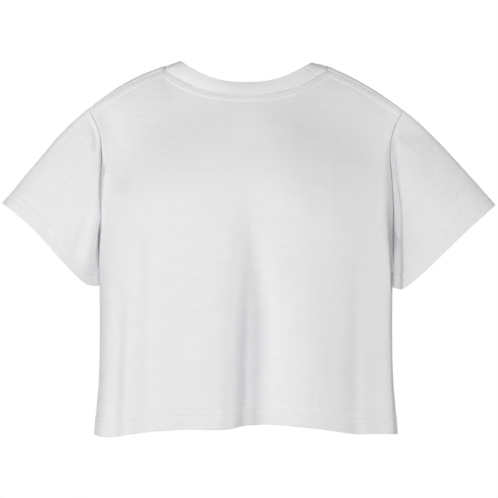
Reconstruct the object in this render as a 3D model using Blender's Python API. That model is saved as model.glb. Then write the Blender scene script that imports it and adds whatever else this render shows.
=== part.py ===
"""Cropped T-shirt with short sleeves and a crew neck, worn form, open at neck, hem and cuffs.

The back faces +Y, the front faces -Y, the wearer's left is +X and up is +Z.  The origin lies midway
between the two shoulder points of the neck seam.  Every wall is an outer grid of points and an inner
grid one cloth thickness inside it.  Neighbouring pieces share the same seam points, a sewing gap apart.
"""

import math

import bpy
import numpy as np

MM = 0.001

# Cloth
JERSEY_WALL = 1.2
HEM_WALL = 2.0
RIB_WALL = 2.0
SEAM_GAP = 0.3
ARMHOLE_GAP = 0.4
NECK_GAP = 0.4
HEM_DEPTH = 25.0
HEM_STEP = 2.0
CUFF_HEM_DEPTH = 20.0
WIDEST_MITRE = 1.5

# Body
SECTION_POWER = 2.35
UNDERARM_Z = -208.0
HEM_SIDE_Z = -466.0
HEM_EASE_Z = -300.0
SHOULDER_X = 198.0
SHOULDER_START_X = 106.0
LEFT_SHOULDER_SLOPE = 0.26
LEFT_SHOULDER_CURVE = 0.0027
RIGHT_SHOULDER_SLOPE = 0.37
RIGHT_SHOULDER_CURVE = 0.00175
SHOULDER_SEAM_Y = 10.0
NECK_SEAM_DROP = 2.0
TIP_SEAM_DROP = 4.5
SHOULDER_SEAM_FADE = 90.0
RIDGE_Y = -2.0
RIDGE_LIFT = 10.0
RIDGE_START_X = 92.0
RIDGE_FADE = 40.0
RIDGE_BEHIND = 12.0
RIDGE_BEFORE = 20.0
BACK_DOME_HEIGHT = 200.0
BACK_DOME_CURVE = 1.5
BACK_DOME_ROOT = 1.0
BACK_NECK_DIP = -27.0
FRONT_DOME_HEIGHT = 220.0
FRONT_DOME_CURVE = 1.5
FRONT_DOME_ROOT = 1.5
FRONT_NECK_DIP = 50.5
NECK_CROWN = 16.0

# Half width of the body by height
WIDTH_HEIGHTS = (-466.0, -430.0, -400.0, -330.0, -208.0, -170.0, -143.0, -111.0, -92.0, -76.0, -64.0, -54.0)
WIDTH_VALUES = (193.5, 191.0, 188.5, 187.0, 188.0, 187.3, 185.5, 183.5, 184.5, 188.0, 193.0, 198.0)

# Depth of the body at its middle by height
DEPTH_HEIGHTS = (-466.0, -300.0, -200.0, -130.0, -40.0)
BACK_DEPTHS = (90.0, 98.0, 104.0, 107.0, 107.0)
FRONT_DEPTHS = (101.0, 109.0, 111.0, 107.0, 103.0)

# How far round the section each armhole reaches, by height
ARMHOLE_HEIGHTS = (-208.0, -204.0, -198.0, -190.0, -178.0, -160.0, -138.0, -115.0, -95.0, -54.0)
ARMHOLE_REACH = (0.0, 0.09, 0.165, 0.235, 0.315, 0.40, 0.465, 0.50, 0.51, 0.47)

# Neck
NECK_HALF = 104.0
BACK_NECK_Z = -35.0
BACK_NECK_CURVE = 2.4
FRONT_NECK_Z = -95.0
FRONT_NECK_CURVE = 2.15
COLLAR_CURVE = 2.4
COLLAR_HALF = 84.0
COLLAR_SIDE_Z = 11.5
COLLAR_SIDE_Y = 7.0
COLLAR_BACK_Z = -17.5
COLLAR_BACK_Y = 50.0
COLLAR_FRONT_Z = -76.0
COLLAR_FRONT_Y = -43.0
COLLAR_ROUND = 1.2

# Sleeves
CUFF_HALF_DEPTH = 32.0
CUFF_TUCK_UP = 9.5
CUFF_BACK_DROP = 1.0
SLEEVE_SIDE_BULGE = 7.0
CUFF_TUCK_POWER = 30

# Rows and columns of the grids
NECK_COLUMNS = 6
SHOULDER_COLUMNS = 8
BODY_ROWS = (0.0, HEM_DEPTH - HEM_STEP, HEM_DEPTH, 60.0, 95.0, 130.0, 166.0, 201.0, 232.0)
ARMHOLE_ROWS = (0.0, 0.026, 0.065, 0.117, 0.195, 0.312, 0.455, 0.59, 0.715, 0.812, 0.89, 0.948, 0.983, 0.995, 1.0)
MIDDLE_ROWS = (0.0, 0.08, 0.16, 0.24, 0.33, 0.42, 0.51, 0.61, 0.71, 0.80, 0.87, 0.93, 0.97, 0.99, 1.0)
COLUMN_CROWDING = 1.3
SLEEVE_ROWS = (0.0, 0.07, 0.18, 0.32, 0.46, 0.60, 0.74)
COLLAR_ROWS = (0.0, 0.33, 0.67, 1.0)

# Height of the hem along the back and the front, from the wearer's right (-X) to the left (+X)
HEM_PLACES = (-192.0, -166.0, -150.0, -125.0, -84.0, -30.0, 0.0, 30.0, 69.0, 100.0, 130.0, 151.0, 178.0, 192.0)
BACK_HEM = (-465.0, -463.0, -463.5, -460.5, -454.0, -450.5, -453.5, -455.5, -455.5, -457.5, -460.5, -464.0, -467.5, -466.0)
FRONT_HEM = (-465.0, -464.0, -462.0, -459.0, -455.0, -452.0, -451.0, -452.0, -455.0, -458.0, -461.0, -463.0, -466.0, -466.0)

# Folds of the panels: place at the foot and at the head, height of the head, height of full depth,
# depth (out is positive), half width at the foot and at the head
FOLD_COLUMNS = ("foot_x", "head_x", "head_z", "full_z", "depth", "foot_width", "head_width")
BACK_FOLDS = (
    (4.0, -1.0, -120.0, -400.0, -10.0, 20.0, 14.0),
    (-14.0, -6.0, -150.0, -420.0, -5.0, 24.0, 16.0),
    (62.0, 50.0, -190.0, -380.0, 4.0, 40.0, 30.0),
    (-78.0, -60.0, -190.0, -380.0, 4.0, 40.0, 30.0),
    (-148.0, -140.0, -190.0, -320.0, -5.0, 16.0, 12.0),
    (152.0, 128.0, -110.0, -300.0, -4.5, 18.0, 14.0),
)
FRONT_FOLDS = (
    (-22.0, -8.0, -170.0, -410.0, -9.0, 22.0, 15.0),
    (66.0, 52.0, -180.0, -380.0, -5.0, 24.0, 16.0),
    (110.0, 96.0, -210.0, -400.0, 4.0, 30.0, 22.0),
    (-108.0, -90.0, -190.0, -390.0, 4.0, 34.0, 24.0),
    (-150.0, -138.0, -200.0, -330.0, -4.5, 16.0, 12.0),
)
# Soft lobes over the shoulder blades and across the chest: place, height, out, half width, half height
LOBE_COLUMNS = ("x", "z", "out", "half_width", "half_height")
BACK_LOBES = (
    (78.0, -130.0, 4.0, 42.0, 60.0),
    (-78.0, -125.0, 4.0, 42.0, 60.0),
    (0.0, -110.0, -3.0, 30.0, 55.0),
)
FRONT_LOBES = (
    (80.0, -190.0, 3.0, 45.0, 60.0),
    (-76.0, -185.0, 3.5, 45.0, 60.0),
)
# Folds of the sleeves: share of the way round from the underarm by the back, half width round,
# share of the way along, half width along, depth
SLEEVE_FOLD_COLUMNS = ("round_at", "round_width", "along_at", "along_width", "depth")
LEFT_SLEEVE_FOLDS = (
    (0.30, 0.05, 0.55, 0.40, -3.5),
    (0.20, 0.05, 0.60, 0.40, 2.5),
    (0.72, 0.06, 0.60, 0.40, -3.5),
)
RIGHT_SLEEVE_FOLDS = (
    (0.17, 0.05, 0.60, 0.40, -3.0),
    (0.32, 0.06, 0.50, 0.40, 2.0),
    (0.70, 0.06, 0.55, 0.40, -4.0),
)

# Where each cuff lies: outermost point and lowest point across its width, its shift to the back,
# how far its middle stands out along the sleeve, how near the body its underside is tucked, and how
# far the top of the sleeve bulges above a straight line
CUFF_COLUMNS = ("tip_x", "tip_z", "foot_x", "foot_z", "shift_y", "sag", "tuck_x", "top_bulge")
LEFT_CUFF = (313.0, -170.5, 198.0, -281.5, -24.0, -4.5, 188.0, 5.5)
RIGHT_CUFF = (317.5, -173.0, 195.0, -287.0, 22.0, -2.0, 188.0, 5.0)

COTTON_WHITE = (0.86, 0.86, 0.87)
RIB_WHITE = (0.84, 0.84, 0.85)
CLOTH_ROUGHNESS = 0.92


def clear_scene():
    for item in list(bpy.context.scene.objects):
        bpy.data.objects.remove(item, do_unlink=True)


def cloth_material(name, colour):
    material = bpy.data.materials.new(name)
    material.use_nodes = True
    shader = material.node_tree.nodes["Principled BSDF"]
    shader.inputs["Base Color"].default_value = (*colour, 1.0)
    shader.inputs["Roughness"].default_value = CLOTH_ROUGHNESS
    shader.inputs["Metallic"].default_value = 0.0
    material.diffuse_color = (*colour, 1.0)
    return material


def unit(vectors):
    lengths = np.linalg.norm(vectors, axis=-1, keepdims=True)
    return vectors / np.maximum(lengths, 1e-9)


def shoulder_height(x):
    run = abs(x) - SHOULDER_START_X
    if x > 0.0:
        return -(LEFT_SHOULDER_SLOPE * run + LEFT_SHOULDER_CURVE * run * run)
    return -(RIGHT_SHOULDER_SLOPE * run + RIGHT_SHOULDER_CURVE * run * run)


def seam_height(x):
    outward = (abs(x) - NECK_HALF) / (SHOULDER_X - NECK_HALF)
    return shoulder_height(x) - NECK_SEAM_DROP - (TIP_SEAM_DROP - NECK_SEAM_DROP) * outward


def shoulder_round(share, curve, root):
    """Rise of a rounded shoulder from 0 to 1, upright at the end and as steep at the start as its root."""
    share = min(max(share, 0.0), 1.0)
    return (1.0 - (1.0 - share) ** curve) ** (1.0 / root)


def ramp(value):
    value = min(max(value, 0.0), 1.0)
    return value * value * (3.0 - 2.0 * value)


def column_shares():
    """Place of each column as a share of the half width, from -1 to 1, with one on each neck point."""
    neck_share = NECK_HALF / SHOULDER_X
    inside = [neck_share * math.sin(math.radians(90.0 * i / NECK_COLUMNS)) for i in range(NECK_COLUMNS + 1)]
    start = math.asin(neck_share ** (SECTION_POWER / 2.0))
    outside = []
    for i in range(1, SHOULDER_COLUMNS + 1):
        angle = start + (math.pi / 2.0 - start) * (i / SHOULDER_COLUMNS) ** COLUMN_CROWDING
        outside.append(math.sin(angle) ** (2.0 / SECTION_POWER))
    half = inside + outside
    return [-share for share in half[:0:-1]] + half


class Panel:
    """Front or back: rows from hem to neck and shoulder, columns from the wearer's right to the left."""

    def __init__(self, side, depths, hem, folds, lobes, neck, dome):
        self.side = side
        self.depths = depths
        self.hem = hem
        self.folds = [dict(zip(FOLD_COLUMNS, fold)) for fold in folds]
        self.lobes = [dict(zip(LOBE_COLUMNS, lobe)) for lobe in lobes]
        self.neck_z, self.neck_curve = neck
        self.dome_height, self.dome_curve, self.dome_root, self.neck_dip = dome
        self.shares = column_shares()
        self.first_arm_row = len(BODY_ROWS)
        tip_z = seam_height(SHOULDER_X)
        arm_rows = [UNDERARM_Z + (tip_z - UNDERARM_Z) * share for share in ARMHOLE_ROWS]
        middle_rows = [UNDERARM_Z + (tip_z - UNDERARM_Z) * share for share in MIDDLE_ROWS]
        self.edge_heights = [HEM_SIDE_Z + rise for rise in BODY_ROWS] + arm_rows
        self.middle_heights = self.edge_heights[:len(BODY_ROWS)] + middle_rows
        self.neck_first = SHOULDER_COLUMNS
        self.neck_last = SHOULDER_COLUMNS + 2 * NECK_COLUMNS
        self.points = self.place_points()

    def top_height(self, share):
        """Height of the upper edge, which is the neckline inside and the shoulder seam outside."""
        x = share * SHOULDER_X
        if abs(x) >= NECK_HALF - 1e-6:
            return seam_height(x)
        start_z = seam_height(math.copysign(NECK_HALF, x))
        return start_z + (self.neck_z - start_z) * (1.0 - abs(x / NECK_HALF) ** self.neck_curve)

    def dome_top(self, share):
        """Height of the shoulder dome, which dips across the neck."""
        x = share * SHOULDER_X
        if abs(x) >= NECK_HALF:
            return seam_height(x)
        start_z = seam_height(math.copysign(NECK_HALF, x))
        inside = 1.0 - (x / NECK_HALF) ** 2
        return start_z + NECK_CROWN * inside - self.neck_dip * inside ** 2

    def section_depth(self, x, edge_x, edge_z, z):
        """Depth of the level section at one place, where the armhole cuts the section short."""
        reach = float(np.interp(edge_z, ARMHOLE_HEIGHTS, ARMHOLE_REACH))
        full_width = edge_x / (1.0 - reach ** SECTION_POWER) ** (1.0 / SECTION_POWER)
        across = min(abs(x) / full_width, 1.0)
        depth = float(np.interp(z, DEPTH_HEIGHTS, self.depths))
        return self.side * depth * (1.0 - across ** SECTION_POWER) ** (1.0 / SECTION_POWER)

    def place_points(self):
        rows = []
        tip_z = seam_height(SHOULDER_X)
        for edge_z, middle_z in zip(self.edge_heights, self.middle_heights):
            edge_x = float(np.interp(edge_z, WIDTH_HEIGHTS, WIDTH_VALUES))
            down = ramp((HEM_EASE_Z - edge_z) / (HEM_EASE_Z - HEM_SIDE_Z - HEM_DEPTH))
            row = []
            for share in self.shares:
                top_z = self.top_height(share)
                x = edge_x * share
                hem_z = float(np.interp(x, HEM_PLACES, self.hem))
                level = middle_z + (edge_z - middle_z) * share * share
                up = max(0.0, (level - UNDERARM_Z) / (tip_z - UNDERARM_Z)) ** 1.5
                z = level + (top_z - tip_z) * up + (hem_z - HEM_SIDE_Z) * down
                below = self.dome_top(share) - z
                dome = shoulder_round(below / self.dome_height, self.dome_curve, self.dome_root)
                seam_y = SHOULDER_SEAM_Y * (1.0 - ramp(below / SHOULDER_SEAM_FADE))
                y = seam_y + self.section_depth(x, edge_x, edge_z, z) * dome
                on_seam = edge_z >= tip_z and abs(share) * SHOULDER_X > NECK_HALF - 1e-6
                if self.side < 0 and not on_seam:
                    z += self.ridge(share, y) * (1.0 - ramp(below / RIDGE_FADE))
                row.append((x, y, z))
            rows.append(row)
        points = np.array(rows)
        return points + self.fold_offsets(points)

    def ridge(self, share, y):
        """Lift of the front panel where it rolls over the shoulder ahead of the seam."""
        width = RIDGE_BEHIND if y > RIDGE_Y else RIDGE_BEFORE
        rise = max(0.0, 1.0 - ((y - RIDGE_Y) / width) ** 2)
        past_neck = ramp((abs(share) * SHOULDER_X - RIDGE_START_X) / (NECK_HALF - RIDGE_START_X))
        return RIDGE_LIFT * rise * past_neck

    def fold_offsets(self, points):
        outward = self.outward(points)
        offsets = np.zeros_like(points)
        for row in range(points.shape[0] - 1):
            for column in range(1, points.shape[1] - 1):
                x, _, z = points[row, column]
                amount = sum(self.fold_depth(fold, x, z) for fold in self.folds)
                for lobe in self.lobes:
                    near = ((x - lobe["x"]) / lobe["half_width"]) ** 2 + ((z - lobe["z"]) / lobe["half_height"]) ** 2
                    amount += lobe["out"] * math.exp(-near)
                edge = ramp((1.0 - abs(self.shares[column])) / 0.12)
                head = ramp((points[-1, column, 2] - z) / 40.0)
                offsets[row, column] = outward[row, column] * amount * edge * head
        return offsets

    @staticmethod
    def fold_depth(fold, x, z):
        if z > fold["head_z"]:
            return 0.0
        down = min((fold["head_z"] - z) / (fold["head_z"] - HEM_SIDE_Z), 1.0)
        centre = fold["head_x"] + (fold["foot_x"] - fold["head_x"]) * down
        width = fold["head_width"] + (fold["foot_width"] - fold["head_width"]) * down
        full = ramp((fold["head_z"] - z) / (fold["head_z"] - fold["full_z"]))
        return fold["depth"] * full * math.exp(-(((x - centre) / width) ** 2))

    def outward(self, points):
        across = np.gradient(points, axis=1)
        up = np.gradient(points, axis=0)
        return unit(np.cross(up, across) * self.side)

    def edge_loop(self, sign):
        """Armhole edge from the underarm to the shoulder on one side."""
        column = -1 if sign > 0 else 0
        return self.points[self.first_arm_row:, column]

    def neck_edge(self):
        return self.points[-1, self.neck_first:self.neck_last + 1]

    def walls(self):
        thickness = np.full(self.points.shape[:2], JERSEY_WALL)
        thickness[:2] = HEM_WALL
        return thickness


def loop_inward(loop):
    """Inward directions of an armhole loop within its own upright plane, from its neighbouring points."""
    flat = loop.copy()
    flat[:, 0] = 0.0
    before = unit(flat - np.roll(flat, 1, axis=0))
    after = unit(np.roll(flat, -1, axis=0) - flat)
    centre = flat.mean(axis=0)
    side_before = np.stack([np.zeros(len(loop)), -before[:, 2], before[:, 1]], axis=1)
    side_after = np.stack([np.zeros(len(loop)), -after[:, 2], after[:, 1]], axis=1)
    inward = unit(side_before + side_after)
    towards = np.sum(inward * (centre - flat), axis=1)
    inward *= np.where(np.sum(towards) > 0.0, 1.0, -1.0)
    mitre = 1.0 / np.clip(np.sum(inward * unit(side_after) * np.sign(np.sum(towards)), axis=1), 0.5, 1.0)
    return inward * np.minimum(mitre, WIDEST_MITRE)[:, None]


def armhole_loop(back, front, sign):
    """Closed armhole loop: the underarm, up the back edge, the shoulder, and down the front edge."""
    behind = back.edge_loop(sign)
    before = front.edge_loop(sign)
    return np.concatenate([behind, before[-2:0:-1]])


class Sleeve:
    """Tube from the armhole loop to the cuff."""

    def __init__(self, sign, loop, inward, cuff, folds):
        self.sign = sign
        self.loop = loop + np.array([sign * ARMHOLE_GAP, 0.0, 0.0])
        self.seam_inward = inward
        self.cuff = dict(zip(CUFF_COLUMNS, cuff))
        self.folds = [dict(zip(SLEEVE_FOLD_COLUMNS, fold)) for fold in folds]
        steps = np.linalg.norm(np.roll(self.loop, -1, axis=0) - self.loop, axis=1)
        travelled = np.concatenate([[0.0], np.cumsum(steps)])
        half = len(loop) // 2
        back_length = travelled[half]
        front_length = travelled[-1] - back_length
        shares = np.where(
            np.arange(len(loop)) <= half,
            0.5 * travelled[:-1] / back_length,
            0.5 + 0.5 * (travelled[:-1] - back_length) / front_length,
        )
        self.round_shares = shares
        self.points = self.place_points()

    def cuff_loop(self):
        """Points of the cuff edge."""
        cuff = self.cuff
        tip = np.array([self.sign * cuff["tip_x"], cuff["shift_y"], cuff["tip_z"]])
        foot = np.array([self.sign * cuff["foot_x"], cuff["shift_y"], cuff["foot_z"]])
        centre = (tip + foot) / 2.0
        half = (foot - tip) / 2.0
        along = unit(np.array([-self.sign * half[2], 0.0, half[0] * self.sign]))
        angles = np.linspace(0.0, 2.0 * math.pi, 721)
        across = np.linalg.norm(half)
        oval = np.stack([across * np.cos(angles), CUFF_HALF_DEPTH * np.sin(angles)], axis=1)
        travelled = np.concatenate([[0.0], np.cumsum(np.linalg.norm(np.diff(oval, axis=0), axis=1))])
        turn = np.interp(self.round_shares, travelled / travelled[-1], angles)
        loop = centre + np.cos(turn)[:, None] * half
        loop[:, 1] += CUFF_HALF_DEPTH * np.sin(turn)
        drop = CUFF_BACK_DROP * np.sin(turn) + cuff["sag"] * np.sin(turn) ** 2 * (1.0 - np.cos(turn))
        under = ((1.0 + np.cos(turn)) / 2.0) ** CUFF_TUCK_POWER
        tuck = np.array([self.sign * (cuff["tuck_x"] - cuff["foot_x"]), 0.0, CUFF_TUCK_UP])
        return loop + drop[:, None] * along + under[:, None] * tuck

    def place_points(self):
        end = self.cuff_loop()
        chord = end - self.loop
        length = np.linalg.norm(chord, axis=1)
        hem = [1.0 - (CUFF_HEM_DEPTH + HEM_STEP) / length, 1.0 - CUFF_HEM_DEPTH / length, np.ones(len(length))]
        reach = [np.full(len(length), row) * (hem[0] / hem[0].max()) for row in SLEEVE_ROWS] + hem
        turn = 2.0 * math.pi * self.round_shares
        facing = np.stack([np.zeros(len(turn)), np.sin(turn), np.zeros(len(turn))], axis=1)
        over = unit(np.array([self.sign, 0.0, 1.0]))
        topness = ((1.0 - np.cos(turn)) / 2.0) ** 3
        bulge = facing * SLEEVE_SIDE_BULGE + over * (topness * self.cuff["top_bulge"])[:, None]
        rows = []
        for share in reach:
            rise = np.sin(math.pi * np.minimum(share, 1.0) ** 0.65)
            rows.append(self.loop + chord * share[:, None] + bulge * rise[:, None])
        points = np.array(rows)
        return points + self.fold_offsets(points, np.array(reach))

    def fold_offsets(self, points, reach):
        outward = self.outward(points)
        amount = np.zeros(points.shape[:2])
        for fold in self.folds:
            around = (self.round_shares[None, :] - fold["round_at"]) / fold["round_width"]
            along = (reach - fold["along_at"]) / fold["along_width"]
            amount += fold["depth"] * np.exp(-(around ** 2)) * np.exp(-(along ** 2))
        amount *= np.clip(reach / 0.3, 0.0, 1.0)
        return outward * amount[..., None]

    def outward(self, points):
        around = np.roll(points, -1, axis=1) - np.roll(points, 1, axis=1)
        along = np.gradient(points, axis=0)
        return unit(np.cross(around, along) * self.sign)

    def walls(self):
        thickness = np.full(self.points.shape[:2], JERSEY_WALL)
        thickness[-2:] = HEM_WALL
        return thickness


class Neckband:
    """Folded rib band standing on the neck seam, round the whole neck."""

    def __init__(self, back, front):
        behind = back.neck_edge()
        before = front.neck_edge()
        self.seat = np.concatenate([behind, before[-2:0:-1]])
        self.top = self.top_loop()
        self.rise = unit(self.top - self.seat)
        self.points = self.place_points()

    def top_loop(self):
        top = []
        for x, y, _ in self.seat:
            across = min(abs(x) / NECK_HALF, 1.0)
            middle = math.sqrt(1.0 - across * across)
            behind = y >= SHOULDER_SEAM_Y - 1e-6
            centre_y = COLLAR_BACK_Y if behind else COLLAR_FRONT_Y
            centre_z = COLLAR_BACK_Z if behind else COLLAR_FRONT_Z
            new_y = COLLAR_SIDE_Y + (centre_y - COLLAR_SIDE_Y) * middle
            new_z = COLLAR_SIDE_Z + (centre_z - COLLAR_SIDE_Z) * (1.0 - across ** COLLAR_CURVE)
            top.append((x * COLLAR_HALF / NECK_HALF, new_y, new_z))
        return np.array(top)

    def place_points(self):
        start = self.seat + self.rise * NECK_GAP
        around = unit(np.roll(start, -1, axis=0) - np.roll(start, 1, axis=0))
        face = unit(np.cross(self.rise, around))
        rows = []
        for share in COLLAR_ROWS:
            level = start + (self.top - start) * share
            rows.append(level + face * COLLAR_ROUND * math.sin(math.pi * share) * self.face_sign(face))
        return np.array(rows)

    def face_sign(self, face):
        return 1.0 if np.sum(face[:, :2] * self.seat[:, :2]) > 0.0 else -1.0

    def outward(self, points):
        around = np.roll(points, -1, axis=1) - np.roll(points, 1, axis=1)
        along = np.gradient(points, axis=0)
        face = unit(np.cross(along, around))
        return face * self.face_sign(face[0])

    def walls(self):
        return np.full(self.points.shape[:2], RIB_WALL)


def square_to(direction, rise):
    """The part of each direction that is square to the rise of the neckband."""
    return unit(direction - np.sum(direction * rise, axis=-1, keepdims=True) * rise)


def neck_seam_inward(back, front, band):
    """Inward directions along the neck seam, shared by the band and the two panels."""
    band_face = -band.outward(band.points)[0]
    back_face = -back.outward(back.points)[-1, back.neck_first:back.neck_last + 1]
    front_face = -front.outward(front.points)[-1, front.neck_first:front.neck_last + 1]
    count = len(back_face)
    behind = square_to(back_face + band_face[:count], band.rise[:count])
    band_before = np.concatenate([band_face[:1], band_face[:count - 2:-1]])
    rise_before = np.concatenate([band.rise[:1], band.rise[:count - 2:-1]])
    before = square_to(front_face + band_before, rise_before)
    for end in (0, -1):
        level = behind[end] + before[end]
        shared = unit(np.array([level[0], 0.0, level[2]]))
        behind[end] = shared
        before[end] = shared
    return behind, before


def build_wall(name, outer, inner, closed, flip, material):
    """One closed body between an outer and an inner grid of the same shape."""
    rows, columns = outer.shape[:2]
    count = rows * columns
    vertices = np.concatenate([outer.reshape(-1, 3), inner.reshape(-1, 3)]) * MM
    faces = []

    def quad(a, b, c, d):
        corners = ((a, b, c), (a, c, d))
        faces.extend(corner[::-1] if flip else corner for corner in corners)

    def at(row, column):
        return row * columns + column % columns

    spans = columns if closed else columns - 1
    for row in range(rows - 1):
        for column in range(spans):
            a, b = at(row, column), at(row, column + 1)
            d, c = at(row + 1, column), at(row + 1, column + 1)
            quad(a, b, c, d)
            faces.extend(
                corner[::-1] if not flip else corner
                for corner in ((a + count, b + count, c + count), (a + count, c + count, d + count))
            )
    for column in range(spans):
        low_a, low_b = at(0, column), at(0, column + 1)
        top_a, top_b = at(rows - 1, column), at(rows - 1, column + 1)
        quad(low_b, low_a, low_a + count, low_b + count)
        quad(top_a, top_b, top_b + count, top_a + count)
    if not closed:
        for row in range(rows - 1):
            a, b = at(row, 0), at(row + 1, 0)
            quad(a, b, b + count, a + count)
            c, d = at(row, columns - 1), at(row + 1, columns - 1)
            quad(d, c, c + count, d + count)

    mesh = bpy.data.meshes.new(name)
    mesh.from_pydata([tuple(vertex) for vertex in vertices], [], faces)
    mesh.update()
    mesh.polygons.foreach_set("use_smooth", [True] * len(mesh.polygons))
    piece = bpy.data.objects.new(name, mesh)
    piece.data.materials.append(material)
    bpy.context.scene.collection.objects.link(piece)
    return piece


def panel_solid(name, panel, arm_inward, neck_inward, material):
    outer = panel.points.copy()
    inward = -panel.outward(outer)
    arm = panel.first_arm_row
    for sign, column in ((1.0, -1), (-1.0, 0)):
        inward[:arm, column] = (-sign, 0.0, 0.0)
        inward[arm:, column] = arm_inward[sign]
    for column in range(1, outer.shape[1] - 1):
        if panel.neck_first < column < panel.neck_last:
            inward[-1, column] = neck_inward[column - panel.neck_first]
        else:
            run = outer[-1, column + 1] - outer[-1, column - 1]
            down = unit(np.array([run[2], 0.0, -run[0]]))
            inward[-1, column] = down
    outer[:, [0, -1], 1] += panel.side * SEAM_GAP / 2.0
    shoulder = list(range(1, panel.neck_first + 1)) + list(range(panel.neck_last, outer.shape[1] - 1))
    outer[-1, shoulder, 1] += panel.side * SEAM_GAP / 2.0
    inner = outer + inward * panel.walls()[..., None]
    return build_wall(name, outer, inner, False, panel.side > 0, material)


def sleeve_solid(name, sleeve, material):
    outer = sleeve.points
    inward = -sleeve.outward(outer)
    inward[0] = sleeve.seam_inward
    inner = outer + inward * sleeve.walls()[..., None]
    return build_wall(name, outer, inner, True, sleeve.sign < 0, material)


def neckband_solid(name, band, seam_inward, material):
    outer = band.points
    inward = -band.outward(outer)
    inward[0] = seam_inward
    inner = outer + inward * band.walls()[..., None]
    return build_wall(name, outer, inner, True, True, material)


def main():
    clear_scene()
    back_neck = (BACK_NECK_Z, BACK_NECK_CURVE)
    back_dome = (BACK_DOME_HEIGHT, BACK_DOME_CURVE, BACK_DOME_ROOT, BACK_NECK_DIP)
    back = Panel(1.0, BACK_DEPTHS, BACK_HEM, BACK_FOLDS, BACK_LOBES, back_neck, back_dome)
    front_neck = (FRONT_NECK_Z, FRONT_NECK_CURVE)
    front_dome = (FRONT_DOME_HEIGHT, FRONT_DOME_CURVE, FRONT_DOME_ROOT, FRONT_NECK_DIP)
    front = Panel(-1.0, FRONT_DEPTHS, FRONT_HEM, FRONT_FOLDS, FRONT_LOBES, front_neck, front_dome)
    band = Neckband(back, front)

    half_loop = len(ARMHOLE_ROWS)
    arm_back = {}
    arm_front = {}
    loops = {}
    inwards = {}
    for sign in (1.0, -1.0):
        loop = armhole_loop(back, front, sign)
        inward = loop_inward(loop)
        loops[sign] = loop
        inwards[sign] = inward
        arm_back[sign] = inward[:half_loop]
        arm_front[sign] = np.concatenate([inward[:1], inward[:half_loop - 2:-1]])

    behind, before = neck_seam_inward(back, front, band)
    seam_inward = np.concatenate([behind, before[-2:0:-1]])

    white = cloth_material("cotton_jersey", COTTON_WHITE)
    panel_solid("back", back, arm_back, behind, white)
    front_cloth = cloth_material("cotton_jersey_front", COTTON_WHITE)
    panel_solid("front", front, arm_front, before, front_cloth)
    left = Sleeve(1.0, loops[1.0], inwards[1.0], LEFT_CUFF, LEFT_SLEEVE_FOLDS)
    right = Sleeve(-1.0, loops[-1.0], inwards[-1.0], RIGHT_CUFF, RIGHT_SLEEVE_FOLDS)
    sleeve_solid("sleeve_left", left, cloth_material("cotton_jersey_sleeve_left", COTTON_WHITE))
    sleeve_solid("sleeve_right", right, cloth_material("cotton_jersey_sleeve_right", COTTON_WHITE))
    neckband_solid("neckband", band, seam_inward, cloth_material("cotton_rib", RIB_WHITE))


main()
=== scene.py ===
"""Looks of a white cotton crop top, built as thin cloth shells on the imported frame."""

import logging
import math
from dataclasses import dataclass, field
from enum import Enum
from typing import Sequence

import bpy
import numpy as np
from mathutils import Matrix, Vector

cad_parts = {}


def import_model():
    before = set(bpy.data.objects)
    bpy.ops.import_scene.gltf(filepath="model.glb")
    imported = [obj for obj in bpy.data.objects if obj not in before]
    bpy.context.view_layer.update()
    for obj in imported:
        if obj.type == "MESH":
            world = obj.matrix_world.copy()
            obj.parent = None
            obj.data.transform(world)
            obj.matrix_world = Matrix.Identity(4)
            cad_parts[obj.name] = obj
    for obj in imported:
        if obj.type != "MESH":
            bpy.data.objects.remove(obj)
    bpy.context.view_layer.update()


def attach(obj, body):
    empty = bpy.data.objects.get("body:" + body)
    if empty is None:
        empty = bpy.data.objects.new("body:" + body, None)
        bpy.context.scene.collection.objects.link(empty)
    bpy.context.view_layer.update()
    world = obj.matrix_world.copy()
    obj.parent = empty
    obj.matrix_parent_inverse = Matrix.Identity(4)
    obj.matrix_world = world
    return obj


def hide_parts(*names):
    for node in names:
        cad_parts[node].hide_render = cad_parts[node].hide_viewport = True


LOG = logging.getLogger("crop_top")
MM = 0.001
Array = np.ndarray


class Side(Enum):
    """The two body panels, with the direction each one faces along Y."""

    BACK = 1.0
    FRONT = -1.0


class Arm(Enum):
    """The two sleeves, with the direction each one points along X."""

    LEFT = 1.0
    RIGHT = -1.0


def unit(vectors: Array) -> Array:
    """Scale each vector to length one."""
    lengths = np.linalg.norm(vectors, axis=-1, keepdims=True)
    return vectors / np.maximum(lengths, 1e-9)


def ramp(value: Array) -> Array:
    """Ease a value from 0 to 1, level at both ends."""
    value = np.clip(value, 0.0, 1.0)
    return value * value * (3.0 - 2.0 * value)


def smooth_table(at: Array, places: Sequence[float], values: Sequence[float]) -> Array:
    """Read a short table as a smooth curve.

    Args:
        at: Places to read the curve at.
        places: Rising places of the table.
        values: Value at each place.

    Returns:
        The value at each wanted place.
    """
    x = np.asarray(places, float)
    y = np.asarray(values, float)
    slopes = np.diff(y) / np.diff(x)
    ends = np.concatenate([[slopes[0]], (slopes[:-1] + slopes[1:]) / 2.0, [slopes[-1]]])
    flat = np.concatenate([[False], slopes[:-1] * slopes[1:] <= 0.0, [False]])
    ends = np.where(flat, 0.0, ends)
    where = np.clip(at, x[0], x[-1])
    low = np.clip(np.searchsorted(x, where, side="right") - 1, 0, len(x) - 2)
    width = x[low + 1] - x[low]
    t = (where - x[low]) / width
    a = (1.0 + 2.0 * t) * (1.0 - t) ** 2 * y[low] + t * t * (3.0 - 2.0 * t) * y[low + 1]
    return a + width * (t * (1.0 - t) ** 2 * ends[low] - t * t * (1.0 - t) * ends[low + 1])


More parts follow.
